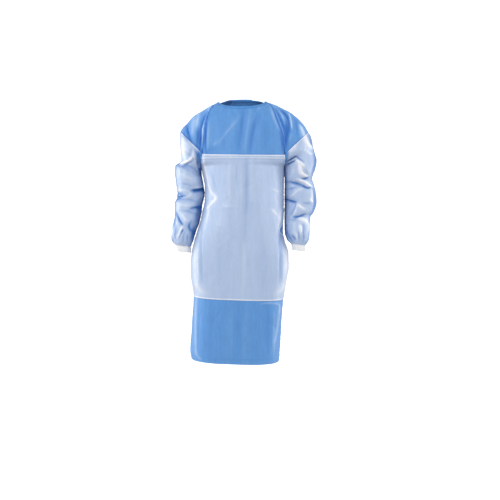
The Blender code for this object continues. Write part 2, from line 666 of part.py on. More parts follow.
def binding_mesh(name, panels):
    """A strip folded over the neck edge, from the outer back panel round the front to the inner back panel."""
    over = BINDING_GAP + BINDING_WALL
    under = -CLOTH - BINDING_GAP
    section = (
        (over, BINDING_WIDTH),
        (over, -over),
        (under - BINDING_WALL, -over),
        (under - BINDING_WALL, BINDING_WIDTH),
        (under, BINDING_WIDTH),
        (under, -BINDING_GAP),
        (BINDING_GAP, -BINDING_GAP),
        (BINDING_GAP, BINDING_WIDTH),
    )
    stations = []
    seen = set()
    for panel, backwards in panels:
        order = range(panel.index.shape[1])
        for j in reversed(order) if backwards else order:
            k, below = panel.index[0, j], panel.index[1, j]
            if key_of(np.round(panel.points[k], 3)) in seen:
                continue
            seen.add(key_of(np.round(panel.points[k], 3)))
            drop = panel.points[below] - panel.points[k]
            length = np.linalg.norm(drop)
            offsets = [panel.normals[n] * panel.mitre[n] for n in (k, below)]
            ring = []
            for out, down in section:
                share = max(0.0, down / length)
                offset = offsets[0] + (offsets[1] - offsets[0]) * share
                ring.append(panel.points[k] + drop * down / length + offset * out)
            stations.append(ring)
    return swept_mesh(name, stations)


def strip_rings(path, half_width):
    """Rings of a tie along a path of points, each with its normal and the direction of its width."""
    return [
        [
            point - wide * half_width,
            point - wide * half_width + normal * TIE_WALL,
            point + wide * half_width + normal * TIE_WALL,
            point + wide * half_width,
        ]
        for point, normal, wide in path
    ]


def body_row_at(height):
    """The row position of the body at a height below the underarm."""
    heights = column(TRUNK_ROWS, TRUNK_FIELDS, "z")
    k = int(np.searchsorted(-heights, -height)) - 1
    return UNDERARM + k + (height - heights[k]) / (heights[k + 1] - heights[k])


def back_frame(at, u, lift):
    """A point of the back moved out, with its normal and the upward direction along the cloth."""
    step = 0.01
    here = body_point(at, u, 1)
    beside = body_point(at, min(u + step, 0.999), 1) - body_point(at, u - step, 1)
    up = body_point(at - step, u, 1) - here
    normal = unit(np.cross(unit(beside), unit(up)))
    normal = normal if normal[1] > 0 or normal[0] > 0.5 else -normal
    fold = body_fold(here, u, 1)
    return here + normal * (lift - fold), normal, unit(up)


def tie_meshes(flap_edge):
    """The waist tie at the back: a band from the outer panel, one from the side seam, their knot and its two ends."""
    row = body_row_at(TIE_HEIGHT)
    shares = [k / TIE_STATIONS for k in range(TIE_STATIONS + 1)]
    start, stop = flap_edge - TIE_SEWN_SPAN, TIE_KNOT_SPAN - KNOT_HALF_SPAN
    band = []
    for share in shares:
        u = start + (stop - start) * share
        fall = smooth((u - flap_edge - TIE_FALL_START) / TIE_FALL_SPAN)
        band.append(back_frame(row, u, TIE_CLEAR + LAP_LIFT * (1 - fall)))
    meshes = {"waist_tie_right": swept_mesh("waist_tie_right", strip_rings(band, TIE_WIDTH / 2))}
    start, stop = TIE_KNOT_SPAN + KNOT_HALF_SPAN, TIE_SEAM_SPAN
    band = [back_frame(row, start + (stop - start) * share, KNOT_CLEAR) for share in shares[::2]]
    meshes["waist_tie_left"] = swept_mesh("waist_tie_left", strip_rings(band, TIE_WIDTH / 2))
    for tie_row in TIE_ENDS:
        tie = dict(zip(TIE_END_FIELDS, tie_row))
        rings = []
        for share in shares:
            height = TIE_HEIGHT - TIE_WIDTH / 2 - TIE_END_GAP - tie["length"] * share
            lean = tie["lean"] * blend(TIE_END_LEAN, share)
            point, normal, up = back_frame(body_row_at(height), TIE_KNOT_SPAN + lean, TIE_CLEAR)
            half_width = TIE_WIDTH / 2 * blend(TIE_END_WIDTH, share)
            rings += strip_rings([(point, normal, unit(np.cross(normal, up)))], half_width)
        meshes[tie["name"]] = swept_mesh(tie["name"], rings)
    return meshes


def knot_mesh():
    """The knot of the waist tie: a soft block that lies on the back, between the two bands."""
    point, normal, up = back_frame(body_row_at(TIE_HEIGHT), TIE_KNOT_SPAN, KNOT_CLEAR)
    along = unit(np.cross(up, normal))
    cage = bmesh.new()
    bmesh.ops.create_cube(cage, size=1.0)
    bmesh.ops.bevel(cage, geom=cage.edges[:], offset=0.28, segments=2, profile=0.6, affect="EDGES")
    centre = point + normal * (KNOT_SIZE[1] / 2)
    for corner in cage.verts:
        x, y, z = corner.co
        corner.co = centre + along * x * KNOT_SIZE[0] + normal * y * KNOT_SIZE[1] + up * z * KNOT_SIZE[2]
    if cage.calc_volume(signed=True) < 0:
        bmesh.ops.reverse_faces(cage, faces=cage.faces[:])
    mesh = bpy.data.meshes.new("waist_tie_knot")
    cage.to_mesh(mesh)
    cage.free()
    mesh.shade_smooth()
    return mesh


def neck_tab_mesh(panel):
    """The closing tab of the neck: a short strip on the outer back panel, made from its points and moved out."""
    edge = panel.index.shape[1] - 1
    rings = []
    for k in range(NECK_TAB_COLUMNS + 1):
        j = edge - NECK_TAB_COLUMNS + k - (NECK_TAB_SHORT if k == NECK_TAB_COLUMNS else 0)
        low = min(int(j), edge - 1)
        across = j - low
        corners = [panel.index[i, low + n] for i in (1, 2) for n in (0, 1)]
        ring = []
        top, foot = NECK_TAB_ROWS
        for row_at, out in ((foot, 0), (foot, NECK_TAB_WALL), (top, NECK_TAB_WALL), (top, 0)):
            down = row_at - 1
            weights = [(1 - down) * (1 - across), (1 - down) * across, down * (1 - across), down * across]
            place = sum(w * panel.points[c] for w, c in zip(weights, corners))
            normal = unit(sum(w * panel.normals[c] for w, c in zip(weights, corners)))
            ring.append(place + normal * (TAB_CLEAR + out))
        rings.append(ring)
    return swept_mesh("neck_tab", rings)


def main():
    for old in list(bpy.data.objects):
        bpy.data.objects.remove(old)
    collection = bpy.data.collections.new("Surgical gown")
    bpy.context.scene.collection.children.link(collection)

    last_row = UNDERARM + len(TRUNK_ROWS) - 1
    front = body_panel(-1, lambda share: (0.0, 1.0), FRONT_COLUMNS, last_row)
    back_right = body_panel(1, lambda share: (0.0, 0.5 + lap(share)), BACK_COLUMNS, last_row)
    back_left = body_panel(1, lambda share: (0.5 - lap(share), 1.0), BACK_COLUMNS, last_row)
    sleeve_right = sleeve_panel(SLEEVE_RIGHT_ROWS, SLEEVE_RIGHT_CREASES)
    sleeve_left = sleeve_panel(SLEEVE_LEFT_ROWS, SLEEVE_LEFT_CREASES)
    join_normals([[front, back_right, back_left], [sleeve_right], [sleeve_left]])
    lift_lap(back_right)

    add_part(
        "neck_binding",
        binding_mesh(
            "neck_binding",
            [(back_right, True), (sleeve_right, True), (front, False), (sleeve_left, False), (back_left, True)],
        ),
        DEEP_BLUE,
        0.6,
        collection,
    )
    draw_back(front)
    draw_back(back_right, (True, False))
    draw_back(back_left, (False, True))
    draw_back(sleeve_right)
    draw_back(sleeve_left)
    for name, panel in (
        ("front_panel", front),
        ("back_panel_right", back_right),
        ("back_panel_left", back_left),
        ("sleeve_right", sleeve_right),
        ("sleeve_left", sleeve_left),
    ):
        add_part(name, wall_mesh(name, panel, 0.0, -CLOTH), BLUE, 0.65, collection)
    for name, panel, last in (
        ("front_reinforcement", front, FACING_END),
        ("sleeve_reinforcement_right", sleeve_right, len(SLEEVE_RIGHT_ROWS) - 1),
        ("sleeve_reinforcement_left", sleeve_left, len(SLEEVE_LEFT_ROWS) - 1),
    ):
        mesh = facing_mesh(name, panel, FACING_TOP, last, UNDERARM + 1, FACING_EDGE_SHARE)
        add_part(name, mesh, PALE, 0.4, collection)
    for name, rows in (("cuff_right", SLEEVE_RIGHT_ROWS), ("cuff_left", SLEEVE_LEFT_ROWS)):
        add_part(name, cuff_mesh(name, rows, len(rows) - 1), WHITE, 0.8, collection)
    add_part("neck_tab", neck_tab_mesh(back_right), BLUE, 0.65, collection)
    flap_edge = 0.5 + lap(body_row_at(TIE_HEIGHT) / last_row)
    for name, mesh in tie_meshes(flap_edge).items():
        add_part(name, mesh, BLUE, 0.65, collection)
    add_part("waist_tie_knot", knot_mesh(), BLUE, 0.65, collection)


main()
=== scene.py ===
"""Reinforced surgical gown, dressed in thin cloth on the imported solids, in a plain pale studio.

Metres, +Z up. The front faces -Y and the wearer's left is +X. Picture places are pixels of the 500 x 500 frame.
"""

import math

import bpy
import numpy as np
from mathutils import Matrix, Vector

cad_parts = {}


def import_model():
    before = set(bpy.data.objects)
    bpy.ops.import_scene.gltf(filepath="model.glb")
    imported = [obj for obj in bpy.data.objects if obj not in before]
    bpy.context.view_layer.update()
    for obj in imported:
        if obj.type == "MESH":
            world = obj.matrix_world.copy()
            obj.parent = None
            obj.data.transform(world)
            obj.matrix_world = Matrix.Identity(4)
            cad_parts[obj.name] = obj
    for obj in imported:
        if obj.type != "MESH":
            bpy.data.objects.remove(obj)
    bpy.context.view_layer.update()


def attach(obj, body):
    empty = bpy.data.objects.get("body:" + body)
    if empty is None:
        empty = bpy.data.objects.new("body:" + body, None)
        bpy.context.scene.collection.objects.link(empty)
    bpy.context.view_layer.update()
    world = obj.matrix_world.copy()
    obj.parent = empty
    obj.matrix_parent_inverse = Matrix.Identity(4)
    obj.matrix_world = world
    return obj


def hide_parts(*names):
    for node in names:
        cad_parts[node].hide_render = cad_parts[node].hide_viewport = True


# Camera and picture
EYE = (0.032, -3.2, -0.372)
FOCAL_PIXELS = 800.0
HALF_FRAME = 250.0
PITCH = math.atan(55.0 / FOCAL_PIXELS)
PIXEL = 0.004  # metres a pixel at the gown's middle
SENSOR_MM = 36.0

# Studio
FLOOR = -1.46
STUDIO_REACH = 30.0
STUDIO_HEIGHT = 40.0
WALL_SIDES = 32
SKY_LIGHT = 0.56
LIGHT_AIM = (0.0, 0.0, -0.5)
LIGHT_FIELDS = ("name", "place", "size", "watts")
LIGHTS = (
    ("key", (-2.2, -3.4, 1.4), (1.6, 1.6), 74),
    ("fill", (2.6, -3.0, 0.6), (2.2, 2.2), 28),
    ("side_right", (-2.6, 0.5, -0.2), (1.2, 2.6), 42),
    ("side_left", (2.6, 0.5, -0.2), (1.2, 2.6), 42),
    ("back", (0.0, 3.6, 1.2), (2.4, 2.0), 45),
)

# Form of the solids, repeated here
UNDERARM = 8  # the row where the raglan seams end and the sleeve closes
FACING_TOP = 6  # the row along which the three reinforcements begin
FACING_END = UNDERARM + 11
LAP_AT_NECK = 0.14
LAP_AT_HEM = 0.19
LAP_CLEAR_SHARE = 0.03
LAP_RISE_SHARE = 0.16
LAP_LIFT = 0.0050

# Cloth
STEP = 0.0031  # distance between points of the body
SLEEVE_STEP = 0.0023
FACING_LIFT = 0.0009  # a reinforcement lies this far off its panel
SINK = 0.0008  # and its panel gives way this much beneath it
BINDING_WIDTH = 0.0096
BINDING_OUT = 0.0012
BINDING_IN = 0.0018
SLEEVE_PAINTED_LIGHT = 1.7  # the painted light of the sleeves' creases is this much stronger than their tables say
SLEEVE_DEEP = 1.3
BODY_CRUMPLES = {"count": 300, "size": 0.045, "most": 0.0007, "low": (-0.30, 0.0), "high": (0.30, 1.15)}
SLEEVE_CRUMPLES = {"count": 420, "size": 0.024, "most": 0.0010, "low": (-0.21, 0.0), "high": (0.21, 0.73)}
HEM_EDGE = 0.0030  # the pale folded edge of a hem
HEM_STITCHES = (0.0200, 0.0225)
BACK_EDGE_STITCHES = (0.0150, 0.0175)
SLEEVE_FACING_START = 0.014  # shares of the round at which a sleeve's reinforcement starts and leaves off
SLEEVE_FACING_END = 0.992
SHOULDER_FOLD_SHARE = 0.487
# Round the bound edge: 1 outside or -1 inside, lift off the cloth, and share of the width below the edge
BINDING_SECTION = (
    (1, 0.5, 1.0),
    (1, 1.0, 0.94),
    (1, 1.25, 0.86),
    (1, 0.8, 0.80),
    (1, 1.2, 0.70),
    (1, 1.2, 0.45),
    (1, 1.1, 0.2),
    (1, 1.0, 0.02),
    (1, 0.8, -0.08),
    (1, 0.3, -0.12),
    (-1, 0.4, -0.12),
    (-1, 0.9, -0.07),
    (-1, 1.0, 0.03),
    (-1, 1.0, 0.4),
    (-1, 1.0, 0.75),
    (-1, 0.8, 1.0),
)
CUFF_LENGTH = 0.027
CUFF_RIBS = 32
CUFF_NARROWING = 0.97

# Colours. The dark ones paint shade in folds, seam grooves and along edges, and stitch lines too; the pale ones
# paint highlights on ridges and light on the lit sides, and the pale sealed edges too.
BLUE = (0.103, 0.305, 0.680, 1.0)
BLUE_DARK = (0.014, 0.140, 0.510, 1.0)
BLUE_PALE = (0.520, 0.680, 0.900, 1.0)
LAMINATE = (0.430, 0.545, 0.760, 1.0)
LAMINATE_DARK = (0.028, 0.165, 0.500, 1.0)
LAMINATE_PALE = (0.860, 0.880, 0.950, 1.0)
BINDING = (0.070, 0.280, 0.680, 1.0)
KNIT = (0.900, 0.905, 0.930, 1.0)
NONWOVEN = {"roughness": 0.55, "sheen": 0.15, "emboss": 0.5, "mottle": 0.34, "crinkle": 0.30, "coat": 0.0}
FILM = {"roughness": 0.42, "sheen": 0.25, "emboss": 0.35, "mottle": 0.20, "crinkle": 0.45, "coat": 0.15}
STRIP = {"roughness": 0.6, "sheen": 0.15, "emboss": 0.5, "mottle": 0.20, "crinkle": 0.20, "coat": 0.0}

# Fastenings of the back
TAB_ROWS = (1.06, 1.92)
TAB_SHARE = 4 / 15  # of the outer back panel's width
TAB_LIFT = 0.0016
TIE_HEIGHT = -0.425
TIE_WIDTH = 0.022
TIE_LIFT = 0.0018
TIE_SEWN_SPAN = 0.08
TIE_KNOT_SPAN = 0.83
KNOT_HALF_SPAN = 0.050
KNOT_OVERLAP_SPAN = 0.012
TIE_SEAM_SPAN = 0.975
KNOT_SIZE = (0.026, 0.010, 0.026)
TIE_END_FIELDS = ("name", "solid", "length", "lean", "wave")
TIE_ENDS = (
    ("tie_end_strip_right", "waist_tie_end_right", 0.205, -0.055, 0.7),
    ("tie_end_strip_left", "waist_tie_end_left", 0.170, 0.055, 2.3),
)

# Sleeves: rows from the neck to the wrist. Up to the underarm each row runs from the front raglan seam over the
# crest to the back one. Below it the row is a closed ring from its inner to its outer side.
SLEEVE_FIELDS = ("seam_x", "front_y", "back_y", "seam_z", "outer_x", "outer_y", "outer_z", "depth", "turn")
SLEEVE_RIGHT_ROWS = (
    (-0.088, -0.030, 0.032, -0.010, -0.094, 0.002, -0.006, 0.000, 1.00),
    (-0.110, -0.052, 0.052, -0.022, -0.128, 0.003, -0.023, 0.000, 1.00),
    (-0.123, -0.070, 0.070, -0.046, -0.160, 0.004, -0.041, 0.000, 1.00),
    (-0.133, -0.084, 0.083, -0.074, -0.188, 0.005, -0.058, 0.000, 1.00),
    (-0.141, -0.093, 0.092, -0.108, -0.214, 0.006, -0.084, 0.004, 1.05),
    (-0.145, -0.095, 0.094, -0.150, -0.236, 0.006, -0.107, 0.014, 1.15),
    (-0.151, -0.080, 0.080, -0.213, -0.2445, 0.006, -0.122, 0.032, 1.35),
    (-0.157, -0.049, 0.049, -0.243, -0.2465, 0.006, -0.146, 0.056, 1.70),
    (-0.161, 0.004, 0.004, -0.260, -0.245, 0.006, -0.176, 0.066, 2.00),
    (-0.1625, 0.006, 0.006, -0.277, -0.241, 0.006, -0.212, 0.064, 2.00),
    (-0.162, 0.008, 0.008, -0.293, -0.240, 0.007, -0.234, 0.061, 2.00),
    (-0.159, 0.009, 0.009, -0.309, -0.265, 0.008, -0.258, 0.064, 2.00),
    (-0.156, 0.010, 0.010, -0.329, -0.2665, 0.010, -0.284, 0.064, 2.00),
    (-0.153, 0.011, 0.011, -0.348, -0.263, 0.011, -0.322, 0.062, 2.00),
    (-0.151, 0.012, 0.012, -0.366, -0.258, 0.012, -0.358, 0.058, 2.00),
    (-0.154, 0.012, 0.012, -0.386, -0.262, 0.012, -0.384, 0.057, 2.00),
    (-0.160, 0.010, 0.010, -0.410, -0.2675, 0.010, -0.406, 0.060, 2.00),
    (-0.164, 0.002, 0.002, -0.448, -0.267, 0.002, -0.452, 0.060, 2.00),
    (-0.171, -0.008, -0.008, -0.478, -0.272, -0.008, -0.480, 0.058, 2.00),
    (-0.180, -0.018, -0.018, -0.505, -0.279, -0.018, -0.506, 0.056, 2.00),
    (-0.188, -0.028, -0.028, -0.530, -0.2805, -0.028, -0.534, 0.052, 2.00),
    (-0.195, -0.036, -0.036, -0.554, -0.276, -0.036, -0.553, 0.043, 2.00),
    (-0.202, -0.042, -0.042, -0.574, -0.2645, -0.042, -0.566, 0.028, 2.00),
)
SLEEVE_LEFT_ROWS = (
    (0.089, -0.030, 0.032, -0.008, 0.093, 0.002, -0.003, 0.000, 1.00),
    (0.112, -0.052, 0.052, -0.020, 0.130, 0.003, -0.015, 0.000, 1.00),
    (0.123, -0.070, 0.070, -0.045, 0.162, 0.004, -0.030, 0.000, 1.00),
    (0.133, -0.084, 0.083, -0.076, 0.192, 0.005, -0.045, 0.000, 1.00),
    (0.146, -0.093, 0.092, -0.110, 0.224, 0.006, -0.071, 0.004, 1.05),
    (0.159, -0.095, 0.094, -0.152, 0.248, 0.006, -0.097, 0.014, 1.15),
    (0.165, -0.080, 0.080, -0.216, 0.264, 0.006, -0.124, 0.034, 1.35),
    (0.167, -0.049, 0.049, -0.244, 0.276, 0.006, -0.148, 0.058, 1.70),
    (0.168, 0.004, 0.004, -0.260, 0.283, 0.006, -0.182, 0.068, 2.00),
    (0.1695, 0.006, 0.006, -0.277, 0.290, 0.006, -0.208, 0.068, 2.00),
    (0.171, 0.008, 0.008, -0.294, 0.297, 0.007, -0.234, 0.067, 2.00),
    (0.172, 0.009, 0.009, -0.312, 0.294, 0.008, -0.260, 0.065, 2.00),
    (0.172, 0.010, 0.010, -0.332, 0.285, 0.010, -0.287, 0.061, 2.00),
    (0.172, 0.011, 0.011, -0.346, 0.2795, 0.011, -0.308, 0.058, 2.00),
    (0.172, 0.012, 0.012, -0.360, 0.287, 0.012, -0.330, 0.061, 2.00),
    (0.172, 0.012, 0.012, -0.382, 0.295, 0.012, -0.362, 0.063, 2.00),
    (0.172, 0.010, 0.010, -0.410, 0.298, 0.010, -0.402, 0.063, 2.00),
    (0.171, 0.002, 0.002, -0.440, 0.288, 0.002, -0.436, 0.060, 2.00),
    (0.171, -0.008, -0.008, -0.466, 0.272, -0.008, -0.462, 0.054, 2.00),
    (0.171, -0.018, -0.018, -0.494, 0.269, -0.018, -0.494, 0.054, 2.00),
    (0.172, -0.028, -0.028, -0.522, 0.268, -0.028, -0.524, 0.050, 2.00),
    (0.179, -0.036, -0.036, -0.546, 0.264, -0.036, -0.550, 0.041, 2.00),
    (0.194, -0.042, -0.042, -0.562, 0.251, -0.042, -0.569, 0.028, 2.00),
)

# Middle points of the front and the back from the neck to the underarm
YOKE_FIELDS = ("front_y", "front_z", "back_y", "back_z")
YOKE_ROWS = (
    (-0.074, -0.031, 0.070, 0.010),
    (-0.086, -0.052, 0.084, -0.012),
    (-0.098, -0.078, 0.098, -0.042),
    (-0.107, -0.107, 0.108, -0.076),
    (-0.114, -0.138, 0.115, -0.112),
    (-0.120, -0.177, 0.120, -0.156),
    (-0.125, -0.218, 0.122, -0.212),
    (-0.127, -0.241, 0.122, -0.241),
    (-0.128, -0.260, 0.122, -0.260),
)

# Sections of the body below the underarm
TRUNK_FIELDS = ("z", "right_x", "left_x", "front_y", "back_y", "boxiness", "tilt")
TRUNK_ROWS = (
    (-0.260, -0.161, 0.168, -0.128, 0.122, 2.00, 0.000),
    (-0.302, -0.153, 0.166, -0.130, 0.120, 2.05, 0.000),
    (-0.345, -0.146, 0.165, -0.131, 0.118, 2.15, 0.000),
    (-0.388, -0.147, 0.165, -0.132, 0.114, 2.30, 0.000),
    (-0.430, -0.155, 0.165, -0.133, 0.112, 2.50, 0.000),
    (-0.470, -0.163, 0.164, -0.134, 0.113, 2.80, 0.000),
    (-0.512, -0.176, 0.163, -0.135, 0.116, 3.10, 0.000),
    (-0.554, -0.189, 0.170, -0.136, 0.120, 3.30, 0.001),
    (-0.600, -0.199, 0.184, -0.137, 0.124, 3.40, 0.002),
    (-0.650, -0.204, 0.186, -0.138, 0.128, 3.40, 0.003),
    (-0.710, -0.202, 0.177, -0.140, 0.131, 3.30, 0.005),
    (-0.777, -0.193, 0.166, -0.142, 0.134, 3.10, 0.006),
    (-0.850, -0.198, 0.160, -0.143, 0.137, 3.00, 0.006),
    (-0.930, -0.204, 0.156, -0.144, 0.140, 2.90, 0.006),
    (-0.995, -0.209, 0.152, -0.145, 0.142, 2.90, 0.006),
    (-1.027, -0.205, 0.150, -0.146, 0.142, 2.90, 0.006),
)
LAST_ROW = UNDERARM + len(TRUNK_ROWS) - 1

# Creases. Each runs through three picture places. deep is in millimetres and a minus sign makes a ridge. left and
# right are its half widths in pixels on either side of its run. tone is painted light and shade: -1 paints deep
# shade in a fold and 1 a bright highlight on a ridge or light on a lit side. The hidden side uses the same
# picture, seen through the gown.
CREASE_FIELDS = ("x1", "y1", "x2", "y2", "x3", "y3", "deep", "left", "right", "tone")
FRONT_CREASES = (
    # Yoke
    (244, 109, 242, 128, 238.5, 153, 3.5, 3, 2.5, -0.45),
    (257, 113, 252.8, 134, 250, 154, 3.5, 2.5, 2.2, -0.50),
    (250, 110, 247.4, 130, 245, 153, -1.5, 2, 2, 0.25),
    (216.5, 142, 213, 147.5, 209, 152.5, -1.8, 0.9, 1.2, 0.40),
    (240, 116.5, 229, 130, 218, 144, -1.4, 1.2, 1.4, 0.28),
    (270.5, 106.5, 274.3, 119, 279, 129, -1.6, 1, 1, 0.40),
    (278, 127, 281, 133, 282.7, 140, -1.5, 0.9, 0.9, 0.35),
    (262, 103.5, 256, 113, 251, 123, -0.9, 1, 1, 0.20),
    (206.8, 116, 205.4, 136, 206, 153, 3.5, 1.4, 1.4, -1.00),
    (209, 121, 208, 138, 208.6, 152, -1.6, 0.8, 1, 0.45),
    (214, 146, 210.5, 150, 207, 153.5, 2, 1.6, 1.6, -0.65),
    (279.6, 122, 282, 138, 282.8, 154, 3, 2.2, 1.5, -0.95),
    (267, 120, 266, 135, 266.5, 152, 1.6, 3, 3, -0.22),
    (225, 118, 224, 135, 226, 152, 1.2, 3.5, 3.5, -0.12),
    # Chest and waist
    (246.5, 158, 247, 182, 246.2, 212, 2.6, 2.2, 2.2, -0.30),
    (246.2, 205, 246, 222, 245, 242, 1.6, 2, 2, -0.14),
    (237, 163, 237.2, 175, 236.6, 190, 1, 1.4, 1.4, -0.13),
    (251.5, 160, 251.6, 176, 252.2, 200, -0.9, 1.4, 1.4, 0.14),
    (229, 163, 230, 184, 231, 206, -0.8, 1.6, 1.6, 0.10),
    (241.5, 165, 241.5, 185, 241, 210, -0.8, 1, 1, 0.12),
    (203.8, 158.5, 205.6, 168, 208.2, 179, -3.6, 0.8, 1.5, 0.75),
    (207.8, 177, 210, 187.5, 214.4, 195.5, -3.4, 0.8, 1.4, 0.65),
    (213.6, 193, 216.2, 198.5, 213.4, 202.6, -2.6, 1, 1, 0.60),
    (215.8, 199.5, 212, 203.8, 207.6, 208.2, -3.4, 1, 1.2, 0.75),
    (207.8, 207, 208.9, 213, 207.4, 221, -2.2, 0.9, 1.2, 0.50),
    (211.5, 172, 214.5, 181, 215.5, 190, 1.4, 1.4, 1.6, -0.12),
    (203, 196, 205, 204, 204, 214, 1.8, 1.8, 1.8, -0.16),
    (272.2, 189, 275.8, 190.8, 280.2, 191.8, -1.6, 0.7, 0.8, 0.45),
    (274.6, 196, 276.6, 201, 277.6, 206.5, -1.2, 0.8, 0.8, 0.30),
    (271.8, 209.4, 274.6, 212.6, 278.2, 216.4, -2.6, 0.9, 1.1, 0.70),
    (280.8, 210, 279.4, 222, 276.2, 233.5, -2.4, 0.8, 1.4, 0.40),
    (281, 226, 280.6, 237, 281.4, 249, 3, 1.6, 1.5, -0.32),
    # Skirts of the reinforcement
    (199.6, 224, 199, 252, 199.2, 286, -2.6, 1, 1.2, 0.10),
    (282, 242, 282.8, 262, 281.8, 286, -2.6, 1.2, 1, 0.10),
    # Painted shade just inside the front's corners, and painted light on the sides beyond them that face the side
    # lamps
    (202, 228, 201.6, 255, 202.4, 282, 2.4, 1.2, 2.4, -0.24),
    (195.6, 230, 195, 258, 196.4, 284, 0, 2, 1.6, 0.30),
    (285.8, 242, 286.4, 262, 285, 284, 0, 1.6, 2, 0.50),
    (279.2, 240, 279.8, 260, 279, 282, 3.4, 2.8, 1.3, -0.36),
    (244, 243, 244.2, 270, 243.4, 299, -1.1, 1.5, 1.5, 0.12),
    (222, 240, 221, 268, 221.6, 298, 1, 3, 3, -0.06),
    (262, 236, 263, 262, 262.6, 298, 1.2, 3, 3, -0.08),
    (196, 282, 199, 288.5, 205, 293.5, -1.2, 2.4, 2.4, 0.45),
    (288, 279, 284, 287, 276, 294, -1.2, 2.4, 2.4, 0.50),
    # Skirt
    (196.4, 297, 195.8, 325, 196.2, 352, -2, 0.8, 1, 0.55),
    (196, 350, 197.6, 356, 202, 359.5, -1.4, 0.8, 1, 0.40),
    (199.4, 303, 198.8, 326, 199, 350, 1.4, 1.2, 1.8, -0.14),
    (261.5, 303.8, 270, 303.2, 277.2, 304.2, -1.2, 0.7, 0.7, 0.40),
    (276, 303.6, 279.4, 306, 279.2, 313, -1.4, 0.7, 0.7, 0.55),
    (279.2, 311, 277.6, 326, 274.8, 342, -1.6, 0.7, 0.8, 0.50),
    (275.2, 338, 274.2, 346, 273.6, 356, -1.2, 0.7, 0.8, 0.30),
    (274, 312, 273.8, 330, 272.4, 350, -0.9, 0.7, 0.7, 0.28),
    (231, 308, 230.6, 335, 229, 363, -1.8, 4, 4, 0.05),
    (245.4, 310, 244.8, 335, 244, 365, -1.6, 3.2, 3.2, 0.06),
    (238.2, 308, 237.6, 335, 237, 363, 1.8, 2.4, 2.4, -0.14),
    (267, 308, 267.6, 330, 266, 352, 1.8, 4, 4, -0.20),
    (213, 306, 212, 332, 211, 360, 1.4, 4, 4, -0.08),
)
BACK_CREASES = (
    (206, 118, 204.6, 136, 205.6, 156, 3, 1.2, 1.4, -0.70),
    (209, 124, 208, 140, 209.4, 160, -1.6, 0.9, 1.2, 0.35),
    (281, 124, 282.4, 140, 282, 158, 3, 1.8, 1.4, -0.70),
    (222, 112, 225, 135, 222, 168, 2.6, 3, 2.6, -0.28),
    (236, 108, 235, 132, 231, 160, -1.6, 1.4, 1.4, 0.24),
    (260, 116, 256, 140, 257, 176, 2.8, 2.6, 2.8, -0.30),
    (268, 112, 271, 130, 276, 146, -1.6, 1, 1.2, 0.32),
    (207, 172, 210, 186, 216, 200, -2.8, 0.9, 1.4, 0.50),
    (216, 200, 213, 208, 206, 214, -2.4, 1, 1.2, 0.50),
    (214, 204, 224, 209, 238, 208, 2.8, 1, 1.8, -0.40),
    (262, 196, 254, 206, 244, 209, 2.6, 1.2, 1.8, -0.36),
    (274, 204, 266, 209, 256, 211, -2.2, 0.9, 1.4, 0.40),
    (276, 172, 271, 186, 262, 198, -1.8, 1, 1.4, 0.36),
    (226, 212, 224, 240, 218, 300, 3.2, 3.2, 3, -0.26),
    (236, 214, 238, 250, 236, 330, -2, 2.2, 2.2, 0.20),
    (256, 214, 258, 252, 262, 340, 3, 2.8, 2.6, -0.26),
    (272, 220, 275, 260, 274, 330, -1.8, 1.4, 1.8, 0.30),
    (206, 236, 203, 270, 204, 350, -2, 1, 1.4, 0.34),
    (212, 300, 210, 330, 212, 362, 2.2, 2.4, 2.4, -0.20),
    (248, 296, 246, 330, 248, 364, 2, 2.4, 2.4, -0.18),
    (284, 250, 282, 290, 279, 350, -1.8, 0.9, 1.2, 0.36),
)
